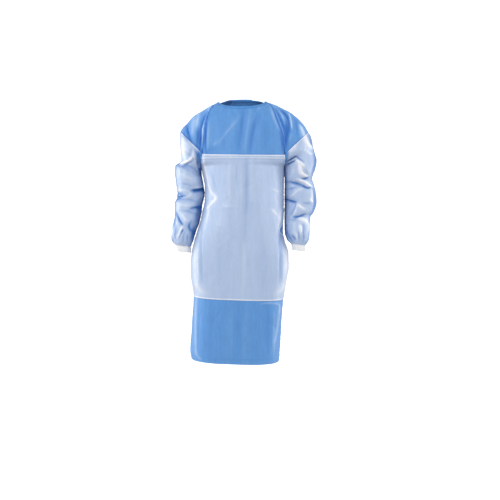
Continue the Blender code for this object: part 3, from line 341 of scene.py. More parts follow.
SLEEVE_RIGHT_CREASES = (
    # Cap
    (207.6, 112, 202.4, 123, 200.6, 136, 3.2, 1, 1.4, -0.85),
    (200.8, 133, 200.6, 141, 199.6, 149, 3, 1.2, 1.2, -0.75),
    (203.6, 121, 202.8, 134, 202.9, 148, -2.6, 0.8, 0.8, 0.65),
    (195, 116, 194, 125, 192, 137, -2.6, 2.2, 2.4, 0.26),
    (198.6, 113, 198, 120, 196.6, 129, -1.2, 1.4, 1.4, 0.28),
    (187, 124, 188.4, 132.5, 191.4, 141.5, 3.4, 1.2, 1.5, -0.75),
    (198, 128, 197.6, 138, 197, 146, 2.2, 1.2, 1.2, -0.55),
    (184, 131, 185, 136, 188, 140.5, 1.6, 1, 1, -0.50),
    (213, 106, 207, 112, 204.6, 120, -1.4, 0.8, 1.2, 0.30),
    # Upper arm
    (184, 139, 183.4, 147, 184.2, 157, -2, 1.8, 2.4, 0.55),
    (192, 148, 191, 153, 188, 158, 1.6, 1.6, 1.6, -0.14),
    (180.8, 163.6, 187.4, 161.4, 192.6, 157, -4.4, 0.9, 1.1, 0.90),
    (178.6, 165.2, 186.4, 164, 193, 160, 4.2, 0.9, 1.4, -0.40),
    (178.6, 165.8, 190, 167, 200.8, 175.4, 3.2, 1, 2.6, -0.26),
    (195.4, 150.8, 197.6, 157, 198.2, 165, 4.4, 1.6, 1.5, -0.60),
    (193, 150, 194.6, 157, 196, 164, -2, 0.8, 0.8, 0.45),
    (198.8, 167.6, 199.9, 170.2, 200.9, 173, 3, 0.8, 0.9, -0.90),
    (180, 172, 186, 177, 196, 181, -1.6, 1.6, 1.6, 0.16),
    (180, 183.6, 188.6, 184.8, 196, 188, 1.2, 0.9, 1.4, -0.18),
    (186, 190.8, 190.8, 194, 184.6, 199, -1.2, 1, 1, 0.22),
    # Elbow
    (191.6, 190.6, 199, 189.6, 205.2, 188, 5.4, 0.9, 1.8, -0.95),
    (192.6, 187.8, 199, 187.2, 204, 185.6, -2.4, 0.8, 0.8, 0.40),
    (175, 198, 179.2, 197.2, 184.2, 196, 5.4, 0.8, 1.2, -0.95),
    (175.8, 193.6, 179.4, 193.8, 183.4, 194.4, 2.8, 1.1, 1.1, -0.55),
    (176, 191, 180, 190.4, 186, 190.8, -1.6, 0.8, 0.8, 0.25),
    (177, 199.6, 188, 199.4, 198, 202.2, 1.6, 0.7, 1.3, -0.30),
    (189.8, 208.8, 195.4, 207.4, 201.6, 206.8, 3.4, 0.8, 1.4, -0.50),
    (181, 211, 189.6, 211.4, 196, 214.4, 1.5, 0.8, 1.4, -0.24),
    (178, 203.6, 184, 206, 192, 204.6, -1.4, 1.4, 1.4, 0.16),
    # Forearm
    (199.4, 204, 198.4, 213, 196.6, 223, 2.2, 1.5, 2, -0.45),
    (191.2, 222, 189.4, 226.6, 192.4, 232, 3.2, 1.6, 1.6, -0.60),
    (194.8, 226, 193, 233, 191.2, 240, 1.8, 1.2, 1.2, -0.50),
    (182, 213, 185, 218, 189, 222, -1.8, 1, 1.4, 0.25),
    (176.8, 212.6, 179.4, 219.4, 183.6, 225.6, 3.8, 0.8, 1, -0.90),
    (183.8, 225.2, 181.2, 229.6, 177.8, 237.6, -2.8, 0.7, 0.8, 0.65),
    (183.2, 229.2, 182.2, 230.8, 181, 232.6, 2.8, 0.7, 0.7, -0.85),
    (182.2, 231.6, 180.4, 235.4, 178.8, 240.8, 2.2, 0.6, 0.7, -0.40),
    (184.6, 232, 183.6, 236.6, 183, 242, 2, 0.7, 0.7, -0.35),
    (187.6, 234, 187.8, 238.6, 187.4, 243, 2, 0.7, 0.8, -0.30),
    (175, 233, 175.6, 237.4, 177.4, 241.8, 1.8, 0.7, 0.7, -0.28),
    (173.2, 224, 172.9, 231, 175, 238.6, -0.8, 1.8, 3.4, 0.60),
)
SLEEVE_LEFT_CREASES = (
    # Cap
    (280.4, 109.4, 285.2, 114.2, 288.5, 119.4, 2.8, 1, 1.1, -0.75),
    (288.2, 117, 289.2, 125, 288.4, 134, 2.6, 1.6, 1.6, -0.50),
    (288.6, 113.8, 290.8, 121.4, 291.7, 129, -2.8, 0.7, 0.8, 0.85),
    (275.6, 109.4, 281, 119.4, 284.6, 131, 2.4, 0.9, 1.4, -0.60),
    (278.2, 110, 283.6, 119.6, 286, 129, -1.4, 0.7, 0.7, 0.40),
    (285.4, 122, 286.4, 135, 286.4, 148, 3.4, 1.6, 2, -0.80),
    (290.8, 131, 290, 138, 287.8, 146, -1.6, 1, 1, 0.20),
    (294, 117, 296.4, 126, 297, 136, 1.6, 1.8, 1.8, -0.28),
    (300, 125.6, 303.4, 132.6, 306, 139.6, -3.4, 0.8, 1.6, 0.95),
    (305.4, 138.6, 307.4, 143.4, 312.2, 148.4, -3.4, 1.1, 1.3, 0.95),
    (308.6, 136, 310.4, 141, 311.6, 146, 1.4, 1, 1, -0.35),
    (289.4, 152.6, 293, 148.6, 297, 144.6, -1.6, 0.9, 1.2, 0.35),
    # Upper arm
    (286.6, 161.8, 291, 159.4, 296, 156.2, 5.4, 0.6, 0.8, -1.00),
    (286.8, 164.2, 291, 162, 296, 159.2, 4.4, 0.6, 0.9, -0.95),
    (287.8, 163, 292, 160.6, 296.4, 157.9, -3.4, 0.5, 0.5, 0.95),
    (295.4, 156.4, 299, 158.6, 303, 161.8, 2.8, 0.7, 0.9, -0.50),
    (295.6, 159, 299.6, 162, 304.2, 165.8, -3.8, 0.8, 1.4, 0.95),
    (299.8, 163.6, 300.4, 169.6, 302.4, 174.6, -3.8, 1.2, 1.4, 0.95),
    (301.4, 172.6, 304.6, 175, 308, 176.4, -3.2, 0.8, 1, 0.85),
    (293, 167, 292, 172.6, 289.6, 178.4, -1.4, 1.6, 1.6, 0.14),
    (305, 150, 309, 153, 312, 153.6, -1.6, 0.8, 1, 0.40),
    (314, 150, 315.2, 162, 312.4, 173, 0.6, 1.4, 1.4, -0.35),
    # Elbow
    (300.8, 178.4, 304.4, 178.8, 308, 176.9, 4.4, 0.7, 1, -0.90),
    (298.2, 179.4, 302.4, 180.8, 306.4, 183.2, -3.8, 0.9, 1.2, 0.95),
    (305.6, 182.6, 308.4, 184.8, 311.4, 186.6, -3.4, 0.8, 0.9, 0.90),
    (288, 182, 297, 183.6, 303.8, 186, 3.8, 0.8, 1.1, -0.60),
    (302.8, 185.6, 306.6, 187.4, 311, 187.5, 4.4, 0.7, 0.9, -0.90),
    (288, 189.2, 292, 188.2, 296, 186.8, 1.8, 0.8, 1, -0.32),
    (289.6, 198, 296.8, 191.2, 303.4, 188.4, -1.8, 0.7, 0.9, 0.35),
    (311.2, 187.8, 311.7, 194, 311.3, 200.8, -1.8, 0.6, 0.8, 0.55),
    (310.9, 199, 311.4, 200.6, 311.8, 202.2, -1.2, 0.7, 0.7, 0.90),
    (286.4, 199.2, 291, 200.8, 296.6, 202.2, 3.8, 0.8, 1.2, -0.70),
    (297, 203.2, 300.4, 206.4, 304.4, 209.6, -2.6, 0.8, 0.9, 0.65),
    (296.4, 203.2, 293.8, 209, 290.4, 215.4, 1.8, 0.8, 1.2, -0.32),
    (297.2, 204, 295.8, 210.6, 292.6, 217, -1.6, 0.7, 0.9, 0.28),
    (303, 202.6, 307, 203.4, 311, 202.4, 1.6, 0.7, 0.9, -0.28),
    (313.2, 190, 314.6, 202, 311.4, 213.6, 0.6, 1.3, 1.3, -0.38),
    # Forearm
    (293, 216.9, 299, 216.4, 304.8, 214.2, 4.8, 0.8, 1.2, -0.80),
    (298.2, 218.4, 302, 219, 306, 221.8, -3.2, 1.3, 1.5, 0.92),
    (306.8, 220.6, 308.2, 225.6, 308.2, 231.6, -2, 0.8, 0.8, 0.55),
    (288.4, 219.6, 293.4, 219.4, 297.4, 220, 1.4, 0.7, 0.9, -0.20),
    (299.8, 224.6, 300.6, 229, 300.8, 233.6, -2.6, 0.8, 1, 0.75),
    (302.4, 223.6, 303.6, 227.6, 302.8, 232.6, 2, 1, 1, -0.30),
    (299, 231.6, 298.8, 236.4, 299.2, 241, 2, 0.7, 0.7, -0.36),
    (291.6, 235.2, 293.7, 237.6, 295.8, 240, 2.8, 0.8, 0.9, -0.55),
    (287, 231, 289, 236.4, 292.6, 241, 1.6, 0.8, 0.8, -0.45),
    (303, 231, 303.6, 236.4, 302.6, 241.6, 2, 0.7, 0.7, -0.30),
    (295.8, 233, 296.8, 237.4, 296.6, 241, -1.6, 0.7, 0.7, 0.35),
)
SLEEVE_RIGHT_BACK = (
    (204, 117, 201, 127, 200.6, 142, 3.2, 1.1, 1.4, -0.75),
    (202.8, 120, 203.2, 133, 203.4, 146, -2.4, 0.8, 0.8, 0.55),
    (193, 118, 190, 128, 188, 140, -2.4, 2, 2.2, 0.40),
    (188, 122, 186, 132, 185, 142, 2.8, 1.2, 1.4, -0.60),
    (180, 160, 188, 163, 198, 160, 4.8, 0.9, 1.6, -0.85),
    (180, 157.6, 188, 160.4, 197, 157.6, -3, 0.8, 0.9, 0.60),
    (184, 170, 192, 173, 200, 170, 2.6, 0.9, 1.6, -0.45),
    (177, 186, 186, 183, 200, 184, 4.2, 0.9, 1.6, -0.70),
    (178, 189, 187, 186.6, 198, 187, -2.6, 0.8, 1, 0.55),
    (176, 198, 188, 200, 202, 197, 5.2, 0.9, 1.6, -0.90),
    (180, 195.4, 188, 197.4, 200, 194.6, -2.8, 0.8, 0.8, 0.60),
    (180, 209, 188, 206, 198, 209, 3, 0.9, 1.5, -0.50),
    (178, 218, 186, 222, 194, 219, 2.2, 0.8, 1.3, -0.40),
    (184, 226, 182, 234, 181, 242, 2.4, 0.7, 0.9, -0.45),
    (190, 228, 188.4, 235, 187.4, 243, 2.2, 0.7, 0.8, -0.40),
    (187, 227, 185.4, 234, 184.4, 242, -2, 0.7, 0.7, 0.45),
)
SLEEVE_LEFT_BACK = (
    (284, 116, 287, 128, 287.4, 144, 3.2, 1.2, 1.5, -0.75),
    (285.8, 118, 289.4, 130, 289.8, 145, -2.4, 0.8, 0.8, 0.55),
    (296, 116, 299, 126, 300, 138, -2.4, 2, 2.2, 0.45),
    (303, 126, 305, 134, 305.6, 142, 2.6, 1.2, 1.4, -0.55),
    (288, 158, 298, 161, 311, 156, 4.8, 0.9, 1.6, -0.85),
    (290, 155.6, 299, 158.4, 310, 153.6, -3, 0.8, 0.9, 0.65),
    (290, 168, 300, 172, 310, 168, 2.8, 0.9, 1.6, -0.45),
    (288, 178, 300, 181, 312, 178.6, 5, 0.9, 1.5, -0.85),
    (290, 181, 300, 184, 309, 182, -2.8, 0.8, 1, 0.60),
    (288, 192, 298, 190, 312, 193, 3, 0.9, 1.4, -0.50),
    (287, 201, 298, 204, 312, 200, 4.4, 0.9, 1.6, -0.75),
    (290, 198.4, 299, 201.2, 310, 197.4, -2.6, 0.8, 0.8, 0.55),
    (289, 214, 298, 216.6, 307, 213, 3.6, 0.9, 1.4, -0.65),
    (292, 224, 294, 232, 295, 241, 2.4, 0.7, 0.9, -0.45),
    (299, 222, 300, 231, 300, 241, 2.2, 0.7, 0.8, -0.40),
    (295.6, 224, 297, 232, 297.6, 241, -2, 0.7, 0.7, 0.45),
)

# Broad folds that the solids have too: heights and places in metres
FOLD_FIELDS = ("side", "top_x", "top_z", "foot_x", "foot_z", "deep", "half")
FOLDS = (
    (-1, 0.014, -0.060, -0.012, -0.200, 0.0035, 0.018),
    (-1, 0.058, -0.085, 0.034, -0.210, 0.0030, 0.016),
    (-1, 0.020, -0.230, 0.020, -0.560, 0.0040, 0.018),
    (-1, -0.022, -0.250, -0.030, -0.480, 0.0020, 0.016),
    (-1, -0.120, -0.300, -0.128, -0.470, -0.0035, 0.020),
    (-1, -0.045, -0.760, -0.052, -1.020, 0.0030, 0.024),
    (-1, 0.010, -0.820, 0.012, -1.030, 0.0030, 0.022),
    (-1, 0.090, -0.640, 0.085, -1.030, 0.0025, 0.026),
    (1, -0.060, -0.150, -0.085, -1.020, 0.0050, 0.024),
    (1, 0.035, -0.300, 0.048, -1.020, 0.0045, 0.026),
    (1, -0.128, -0.420, -0.140, -1.020, -0.0045, 0.022),
    (1, 0.110, -0.300, 0.118, -0.900, 0.0040, 0.022),
)
# The sleeves' own folds, with the same fields
SLEEVE_RIGHT_FOLDS = (
    (-1, -0.245, -0.243, -0.168, -0.292, 0.0070, 0.012),
    (-1, -0.236, -0.250, -0.196, -0.222, -0.0040, 0.010),
    (-1, -0.200, -0.356, -0.150, -0.350, 0.0070, 0.012),
    (-1, -0.266, -0.383, -0.206, -0.392, 0.0050, 0.012),
    (-1, -0.206, -0.430, -0.160, -0.420, 0.0035, 0.012),
    (-1, -0.236, -0.506, -0.262, -0.560, 0.0040, 0.010),
    (1, -0.250, -0.236, -0.170, -0.262, 0.0060, 0.013),
    (1, -0.260, -0.330, -0.176, -0.306, 0.0050, 0.013),
    (1, -0.262, -0.388, -0.170, -0.400, 0.0070, 0.013),
    (1, -0.266, -0.470, -0.200, -0.446, 0.0045, 0.012),
    (1, -0.226, -0.520, -0.236, -0.566, 0.0040, 0.010),
)
SLEEVE_LEFT_FOLDS = (
    (-1, 0.178, -0.242, 0.218, -0.224, 0.0060, 0.011),
    (-1, 0.236, -0.240, 0.266, -0.300, -0.0045, 0.013),
    (-1, 0.184, -0.322, 0.276, -0.341, 0.0065, 0.012),
    (-1, 0.180, -0.390, 0.220, -0.402, 0.0040, 0.012),
    (-1, 0.204, -0.458, 0.262, -0.450, 0.0060, 0.012),
    (-1, 0.226, -0.512, 0.230, -0.560, 0.0035, 0.010),
    (1, 0.184, -0.262, 0.282, -0.236, 0.0055, 0.013),
    (1, 0.186, -0.330, 0.276, -0.312, 0.0065, 0.013),
    (1, 0.186, -0.392, 0.290, -0.410, 0.0065, 0.013),
    (1, 0.186, -0.470, 0.262, -0.448, 0.0050, 0.012),
    (1, 0.214, -0.520, 0.220, -0.560, 0.0035, 0.010),
)

# The sleeves with their tables. Their lines are painted shade along the reinforcement at the sleeve's outer and
# inner side, where the cloth turns away: share of the round, how far a line sways, about which row and within how
# many rows, its half width and how dark it is.
ARM_RIGHT = {
    "name": "right",
    "rows": SLEEVE_RIGHT_ROWS,
    "folds": SLEEVE_RIGHT_FOLDS,
    "front": SLEEVE_RIGHT_CREASES,
    "back": SLEEVE_RIGHT_BACK,
    "lines": (
        {"share": 0.466, "sway": -0.095, "row": 19.4, "half": 1.5, "width": 0.044, "tone": 1.00},
        {"share": 0.042, "sway": 0.0, "row": 18.0, "half": 1.0, "width": 0.032, "tone": 0.70},
    ),
}
ARM_LEFT = {
    "name": "left",
    "rows": SLEEVE_LEFT_ROWS,
    "folds": SLEEVE_LEFT_FOLDS,
    "front": SLEEVE_LEFT_CREASES,
    "back": SLEEVE_LEFT_BACK,
    "lines": (
        {"share": 0.430, "sway": 0.0, "row": 18.0, "half": 1.5, "width": 0.056, "tone": 0.52},
        {"share": 0.490, "sway": 0.0, "row": 18.0, "half": 1.5, "width": 0.034, "tone": 0.50},
        {"share": 0.042, "sway": 0.0, "row": 18.0, "half": 1.0, "width": 0.030, "tone": 0.70},
    ),
}


# Reading the tables


def column(rows, fields, name):
    return np.array([row[fields.index(name)] for row in rows])


def flowing(values, at):
    """A monotone cubic through evenly spaced values, read at many row positions."""
    steps = np.diff(values)
    before, after = steps[:-1], steps[1:]
    total = np.where(before + after == 0, 1, before + after)
    inner = np.where(before * after > 0, 2 * before * after / total, 0.0)
    slopes = np.concatenate([steps[:1], inner, steps[-1:]])
    low = np.minimum(at.astype(int), len(values) - 2)
    t = at - low
    rise = t * t * (3 - 2 * t)
    swing = slopes[low] * t * (1 - t) ** 2 - slopes[low + 1] * t * t * (1 - t)
    return values[low] + (values[low + 1] - values[low]) * rise + swing


def read_rows(rows, fields, at):
    return {name: flowing(column(rows, fields, name), at)[:, None] for name in fields}


def smooth(share):
    share = np.clip(share, 0, 1)
    return share * share * (3 - 2 * share)


def joined(x, y, z):
    return np.stack(np.broadcast_arrays(x, y, z), axis=-1)


# Base form of the panels


def sleeve_form(rows, at, u):
    """Points of a sleeve for row positions at and shares u, a column for each share."""
    row = read_rows(rows, SLEEVE_FIELDS, at)
    swell = np.sin(np.pi * np.clip(u, 0, 1)) ** row["turn"]
    x = row["seam_x"] + (row["outer_x"] - row["seam_x"]) * swell
    middle_y = (row["front_y"] + row["back_y"]) / 2
    y = row["front_y"] + (row["back_y"] - row["front_y"]) * u + (row["outer_y"] - middle_y) * swell
    y = y - row["depth"] * np.sin(2 * np.pi * u)
    z = row["seam_z"] + (row["outer_z"] - row["seam_z"]) * swell
    return joined(x, y, z)


def body_form(side, at, u):
    """Points of the front (side -1) or back (side 1), with u from the wearer's right seam to the left one."""
    upper = np.clip(at, 0, UNDERARM)
    lower = np.clip(at - UNDERARM, 0, len(TRUNK_ROWS) - 1)
    seams = [read_rows(rows, SLEEVE_FIELDS, upper) for rows in (SLEEVE_RIGHT_ROWS, SLEEVE_LEFT_ROWS)]
    yoke = read_rows(YOKE_ROWS, YOKE_FIELDS, upper)
    trunk = read_rows(TRUNK_ROWS, TRUNK_FIELDS, lower)
    is_yoke = (at <= UNDERARM)[:, None]
    edge = "front_y" if side < 0 else "back_y"
    seam_y = SLEEVE_RIGHT_ROWS[UNDERARM][SLEEVE_FIELDS.index("front_y")]
    right = joined(
        np.where(is_yoke, seams[0]["seam_x"], trunk["right_x"]),
        np.where(is_yoke, seams[0][edge], seam_y),
        np.where(is_yoke, seams[0]["seam_z"], trunk["z"] + trunk["tilt"]),
    )
    left = joined(
        np.where(is_yoke, seams[1]["seam_x"], trunk["left_x"]),
        np.where(is_yoke, seams[1][edge], seam_y),
        np.where(is_yoke, seams[1]["seam_z"], trunk["z"] - trunk["tilt"]),
    )
    middle_y = np.where(is_yoke, yoke[edge], trunk[edge])
    middle_z = np.where(is_yoke, yoke[edge.replace("_y", "_z")], trunk["z"])
    boxiness = np.where(is_yoke, 2.0, trunk["boxiness"])
    centre, half = (right + left) / 2, (left - right) / 2
    across = np.cos(np.pi * u)
    across = np.sign(across) * np.abs(across) ** (2 / boxiness)
    forward = np.clip(np.sin(np.pi * u), 0, 1) ** (2 / boxiness)
    reach = joined(np.zeros_like(middle_y), middle_y - centre[..., 1], middle_z - centre[..., 2])
    return centre - half * across[..., None] + reach * forward[..., None]


class Rows:
    """Rows of a panel's base form, which says how far each row has run at every share u."""

    def __init__(self, form, at):
        self.at = at
        self.shares = (1 - np.cos(np.linspace(0, np.pi, 121))) / 2
        points = form(at, np.broadcast_to(self.shares, (len(at), len(self.shares))))
        steps = np.linalg.norm(np.diff(points, axis=1), axis=-1)
        run = np.concatenate([np.zeros((len(at), 1)), np.cumsum(steps, axis=1)], axis=1)
        self.length = run[:, -1:]
        self.run = run / self.length
        fine = np.linspace(0, max(at.max(), 1.0), 600)
        middle = form(fine, np.full((600, 1), 0.5))[:, 0]
        fallen = np.concatenate([[0.0], np.cumsum(np.linalg.norm(np.diff(middle, axis=0), axis=1))])
        self.down = np.interp(at, fine, fallen)[:, None]

    def share_at(self, along):
        """Shares u where each row has run these shares of its length."""
        return np.array([np.interp(a, r, self.shares) for a, r in zip(along, self.run)])

    def along_at(self, u):
        """The same the other way round."""
        return np.array([np.interp(a, self.shares, r) for a, r in zip(u, self.run)])

    def places(self, along):
        """Flat places on the cloth in metres: across from the middle, and down from the neck."""
        return joined((along - 0.5) * self.length, self.down, 0.0)[..., :2]


# Folds and creases


def picture_of(points, side):
    """Where points show in the picture; the hidden side is read straight through the gown."""
    away = points - np.array(EYE)
    if side > 0:
        level = -math.tan(PITCH) * FOCAL_PIXELS
        return np.stack([HALF_FRAME + away[..., 0] / PIXEL, HALF_FRAME + level - away[..., 2] / PIXEL], axis=-1)
    depth = away[..., 1] * math.cos(PITCH) - away[..., 2] * math.sin(PITCH)
    rise = away[..., 1] * math.sin(PITCH) + away[..., 2] * math.cos(PITCH)
    return HALF_FRAME + FOCAL_PIXELS * np.stack([away[..., 0] / depth, -rise / depth], axis=-1)


def nearest_on(path, places):
    """For each place: distance to a path, share of its length there, and 1 or -1 for the side of the path."""
    spans = np.linalg.norm(np.diff(path, axis=0), axis=1)
    starts = np.concatenate([[0.0], np.cumsum(spans)])
    best = np.full(places.shape[:-1], 1e9)
    share = np.zeros_like(best)
    hand = np.ones_like(best)
    for k, span in enumerate(spans):
        along = path[k + 1] - path[k]
        gap = places - path[k]
        t = np.clip((gap @ along) / span**2, 0, 1)
        away = gap - t[..., None] * along
        distance = np.linalg.norm(away, axis=-1)
        closer = distance < best
        best = np.where(closer, distance, best)
        share = np.where(closer, (starts[k] + t * span) / starts[-1], share)
        turn = along[0] * away[..., 1] - along[1] * away[..., 0]
        hand = np.where(closer, np.where(turn > 0, 1.0, -1.0), hand)
    return best, share, hand


def creased(rows, places):
    """Depth in metres and the painted shade and highlights of a table of creases at places of the picture."""
    deep = np.zeros(places.shape[:-1])
    tone = np.zeros_like(deep)
    for values in rows:
        row = dict(zip(CREASE_FIELDS, values))
        first, last = np.array([row["x1"], row["y1"]]), np.array([row["x3"], row["y3"]])
        bend = 2 * np.array([row["x2"], row["y2"]]) - (first + last) / 2
        t = np.linspace(0, 1, 8)[:, None]
        path = first * (1 - t) ** 2 + 2 * bend * t * (1 - t) + last * t * t
        reach = 4 * max(row["left"], row["right"])
        low, high = path.min(axis=0) - reach, path.max(axis=0) + reach
        near = ((places > low) & (places < high)).all(axis=-1)
        if not near.any():
            continue
        gap, share, hand = nearest_on(path, places[near])
        width = np.where(hand > 0, row["right"], row["left"])
        taper = np.sin(np.pi * np.clip(share, 0.03, 0.97)) ** 0.5
        shape = np.exp(-((gap / width) ** 1.4)) * taper
        deep[near] += row["deep"] / 1000 * shape
        tone[near] += row["tone"] * shape**0.7
    return deep, tone


def folded(rows, points, half_turn):
    """Depth of the broad folds, whose places are in metres."""
    deep = np.zeros(points.shape[:-1])
    flat = points[..., [0, 2]]
    for values in rows:
        fold = dict(zip(FOLD_FIELDS, values))
        path = np.array([[fold["top_x"], fold["top_z"]], [fold["foot_x"], fold["foot_z"]]])
        gap, share, _ = nearest_on(path, flat)
        shape = np.exp(-((gap / fold["half"]) ** 2)) * (0.45 + 0.55 * np.sin(np.pi * share))
        deep += fold["deep"] * shape * half_turn[fold["side"]]
    return deep


def crumple(places, seed, count, size, most, low, high):
    """Small chance creases between two corners of a cloth, whose places are in metres."""
    chance = np.random.default_rng(seed)
    low, high = np.array(low), np.array(high)
    deep = np.zeros(places.shape[:-1])
    for _ in range(count):
        centre = low + (high - low) * chance.random(2)
        angle = chance.random() * math.pi
        half = size * (0.5 + chance.random()) * np.array([math.cos(angle), math.sin(angle)])
        width = size * (0.08 + 0.10 * chance.random())
        height = most * (0.3 + 0.7 * chance.random()) * (1 if chance.random() < 0.5 else -1)
        near = (np.abs(places - centre) < np.abs(half) + 4 * width).all(axis=-1)
        if near.any():
            gap, share, _ = nearest_on(np.array([centre - half, centre + half]), places[near])
            deep[near] += height * np.exp(-((gap / width) ** 1.6)) * np.sin(np.pi * np.clip(share, 0, 1)) ** 0.5
    return deep


def normals_of(points, outward):
    """Normals of a grid of points, turned to look the way outward does."""
    down = np.gradient(points, axis=0)
    over = np.gradient(points, axis=1)
    normal = np.cross(down, over)
    normal /= np.maximum(np.linalg.norm(normal, axis=-1, keepdims=True), 1e-12)
    turned = np.sum(normal * outward, axis=-1).sum() < 0
    return -normal if turned else normal


def even_rows(form, first, last, step=STEP):
    """Row positions between first and last that lie about a step apart on the cloth."""
    fine = np.linspace(first, last, 400)
    points = form(fine, np.full((400, 1), 0.5))[:, 0]
    length = np.concatenate([[0.0], np.cumsum(np.linalg.norm(np.diff(points, axis=0), axis=1))])
    count = max(2, int(round(length[-1] / step)))
    return np.interp(np.linspace(0, length[-1], count + 1), length, fine)


def edged(count):
    """Even shares from 0 to 1, one for each column, with closer ones beside both ends."""
    beside = np.array([0, 0.0012, 0.0026])
    return np.concatenate([beside, np.linspace(0.0045, 0.9955, count), 1 - beside[::-1]])[None, :]


# Panels with all their relief: each gives points, tone and normals for rows and shares of their length


def band(distance, near, far, soft=0.0006):
    """1 between two distances from an edge, with soft ends."""
    return smooth((distance - near) / soft + 0.5) * smooth((far - distance) / soft + 0.5)


def seam_relief(distance, down):
    """Swelling and puckers beside a seam, and its dark line of painted shade in the seam's groove."""
    swell = 0.0010 * np.exp(-(((distance - 0.005) / 0.003) ** 2))
    wave = np.sin(down / 0.0031 + 2 * np.sin(down / 0.019)) + 0.6 * np.sin(down / 0.0083 + 1.0)
    pucker = 0.0005 * wave * np.exp(-(((distance - 0.007) / 0.006) ** 2))
    return swell + pucker, -1.2 * np.exp(-((distance / 0.0040) ** 2))


def under_facing(at, along):
    """1 well inside the front reinforcement, where the panel beneath gives way."""
    below = smooth((at - FACING_TOP - 0.1) / 0.2) * smooth((FACING_END - 0.1 - at) / 0.2)
    return below * smooth((along - 0.04) / 0.02) * smooth((0.86 - along) / 0.03)


def body_surface(side, rows, along):
    """The creased front (side -1) or back (side 1)."""
    at = rows.at[:, None]
    u = rows.share_at(along)
    base = body_form(side, rows.at, u)
    if side > 0:
        spread = np.linspace(-1.5, 1.5, 7)
        soft = sum(body_form(side, np.clip(rows.at + d, 0, LAST_ROW), u) for d in spread) / len(spread)
        share = np.exp(-(((at - UNDERARM) / 1.6) ** 2)) * smooth(u / 0.2) * smooth((1 - u) / 0.2)
        base = base + (soft - base) * share[..., None] * np.array([0.0, 1.0, 0.0])
    outward = np.array([0.0, side, 0.0])
    normal = normals_of(base, outward)
    fade = smooth(u / 0.10) * smooth((1 - u) / 0.10)
    points = base - normal * (folded(FOLDS, base, {-1: side < 0, 1: side > 0}) * fade)[..., None]
    normal = normals_of(points, outward)
    # The creases' tone is painted shade in their folds and painted highlights on their ridges
    deep, tone = creased(FRONT_CREASES if side < 0 else BACK_CREASES, picture_of(points, side))
    distance = np.minimum(along, 1 - along) * rows.length
    near = smooth(distance / 0.012)
    deep = deep + crumple(rows.places(along), seed=5 + side, **BODY_CRUMPLES)
    if side > 0:
        deep = deep * (1 - 0.95 * np.exp(-(((base[..., 2] - TIE_HEIGHT) / 0.017) ** 4)))
    # dark is painted shade in the seams' grooves
    swell, dark = seam_relief(distance, rows.down)
    foot = rows.down.max() - rows.down if rows.at[-1] == LAST_ROW else 1.0
    tone = tone + dark + 0.35 * band(foot, -1, HEM_EDGE) - 0.10 * band(foot, *HEM_STITCHES)
    deep = deep * near - swell
    points = points - normal * (deep * smooth(distance / 0.0015))[..., None]
    return points, tone, normals_of(points, outward)


def sleeve_surface(arm, rows, along):
    """A creased sleeve. Its front and its back have creases of their own."""
    u = rows.share_at(along)
    base = sleeve_form(arm["rows"], rows.at, u)
    row = read_rows(arm["rows"], SLEEVE_FIELDS, rows.at)
    spine_x, spine_z = (row["seam_x"] + row["outer_x"]) / 2, (row["seam_z"] + row["outer_z"]) / 2
    spine = joined(spine_x, row["outer_y"], spine_z - 0.02)
    outward = base - spine
    normal = normals_of(base, outward)
    is_open = (rows.at < UNDERARM)[:, None]
    behind = base[..., 1] - row["outer_y"]
    facing = np.clip(np.abs(behind) / 0.030, 0, 1)
    fade = np.where(is_open, smooth(u / 0.15) * smooth((1 - u) / 0.15), 1.0)
    deep = folded(arm["folds"], base, {-1: behind < 0, 1: behind >= 0}) * facing * fade
    points = base - normal * deep[..., None]
    normal = normals_of(points, outward)
    distance = np.minimum(along, 1 - along) * rows.length
    near = smooth(distance / 0.008)
    # The creases' tone is painted shade in their folds and painted highlights on their ridges
    front, front_tone = creased(arm["front"], picture_of(points, -1))
    back, back_tone = creased(arm["back"], picture_of(points, 1))
    to_front = smooth(0.5 - behind / 0.016)
    deep = SLEEVE_DEEP * (front * to_front + back * (1 - to_front))
    deep = deep + crumple(rows.places(along), seed=11, **SLEEVE_CRUMPLES)
    tone = front_tone * to_front + back_tone * (1 - to_front)
    # dark is painted shade in the seams' grooves
    swell, dark = seam_relief(distance, rows.down)
    deep = (deep * near - swell) * smooth(distance / 0.0015)
    points = points - normal * deep[..., None]
    return points, SLEEVE_PAINTED_LIGHT * tone + dark, normals_of(points, outward)


# Meshes


def grid_mesh(name, points, tone, places, closed_from=None):
    """A mesh of a grid of points. From the row closed_from on, the last column is the first one again."""
    rows, columns = points.shape[:2]
    index = np.arange(rows * columns).reshape(rows, columns)
    if closed_from is not None:
        index[closed_from:, -1] = index[closed_from:, 0]
    quads = np.stack([index[:-1, :-1], index[1:, :-1], index[1:, 1:], index[:-1, 1:]], axis=-1).reshape(-1, 4)
    grid = np.arange(rows * columns).reshape(rows, columns)
    corners = np.stack([grid[:-1, :-1], grid[1:, :-1], grid[1:, 1:], grid[:-1, 1:]], axis=-1).reshape(-1)
    used, quads = np.unique(quads, return_inverse=True)
    quads = quads.reshape(-1, 4)
    mesh = bpy.data.meshes.new(name)
    mesh.from_pydata(points.reshape(-1, 3)[used].tolist(), [], quads.tolist())
    layer = mesh.uv_layers.new(name="cloth")
    layer.data.foreach_set("uv", places.reshape(-1, 2)[corners].ravel().astype(np.float32))
    shade = mesh.attributes.new("tone", "FLOAT", "POINT")
    shade.data.foreach_set("value", np.clip(tone, -1, 1).reshape(-1)[used].astype(np.float32))
    mesh.shade_smooth()
    return mesh


def add_piece(name, mesh, material, solid):
    """Puts a piece in the place of the solid whose name it is given."""
    piece = bpy.data.objects.new(name, mesh)
    mesh.materials.append(material)
    bpy.context.scene.collection.objects.link(piece)
    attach(piece, "root")
    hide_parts(solid)
    return piece


# Materials


def node(tree, kind, **values):
    made = tree.nodes.new(kind)
    for key, value in values.items():
        if key in made.inputs:
            made.inputs[key].default_value = value
        else:
            setattr(made, key, value)
    return made


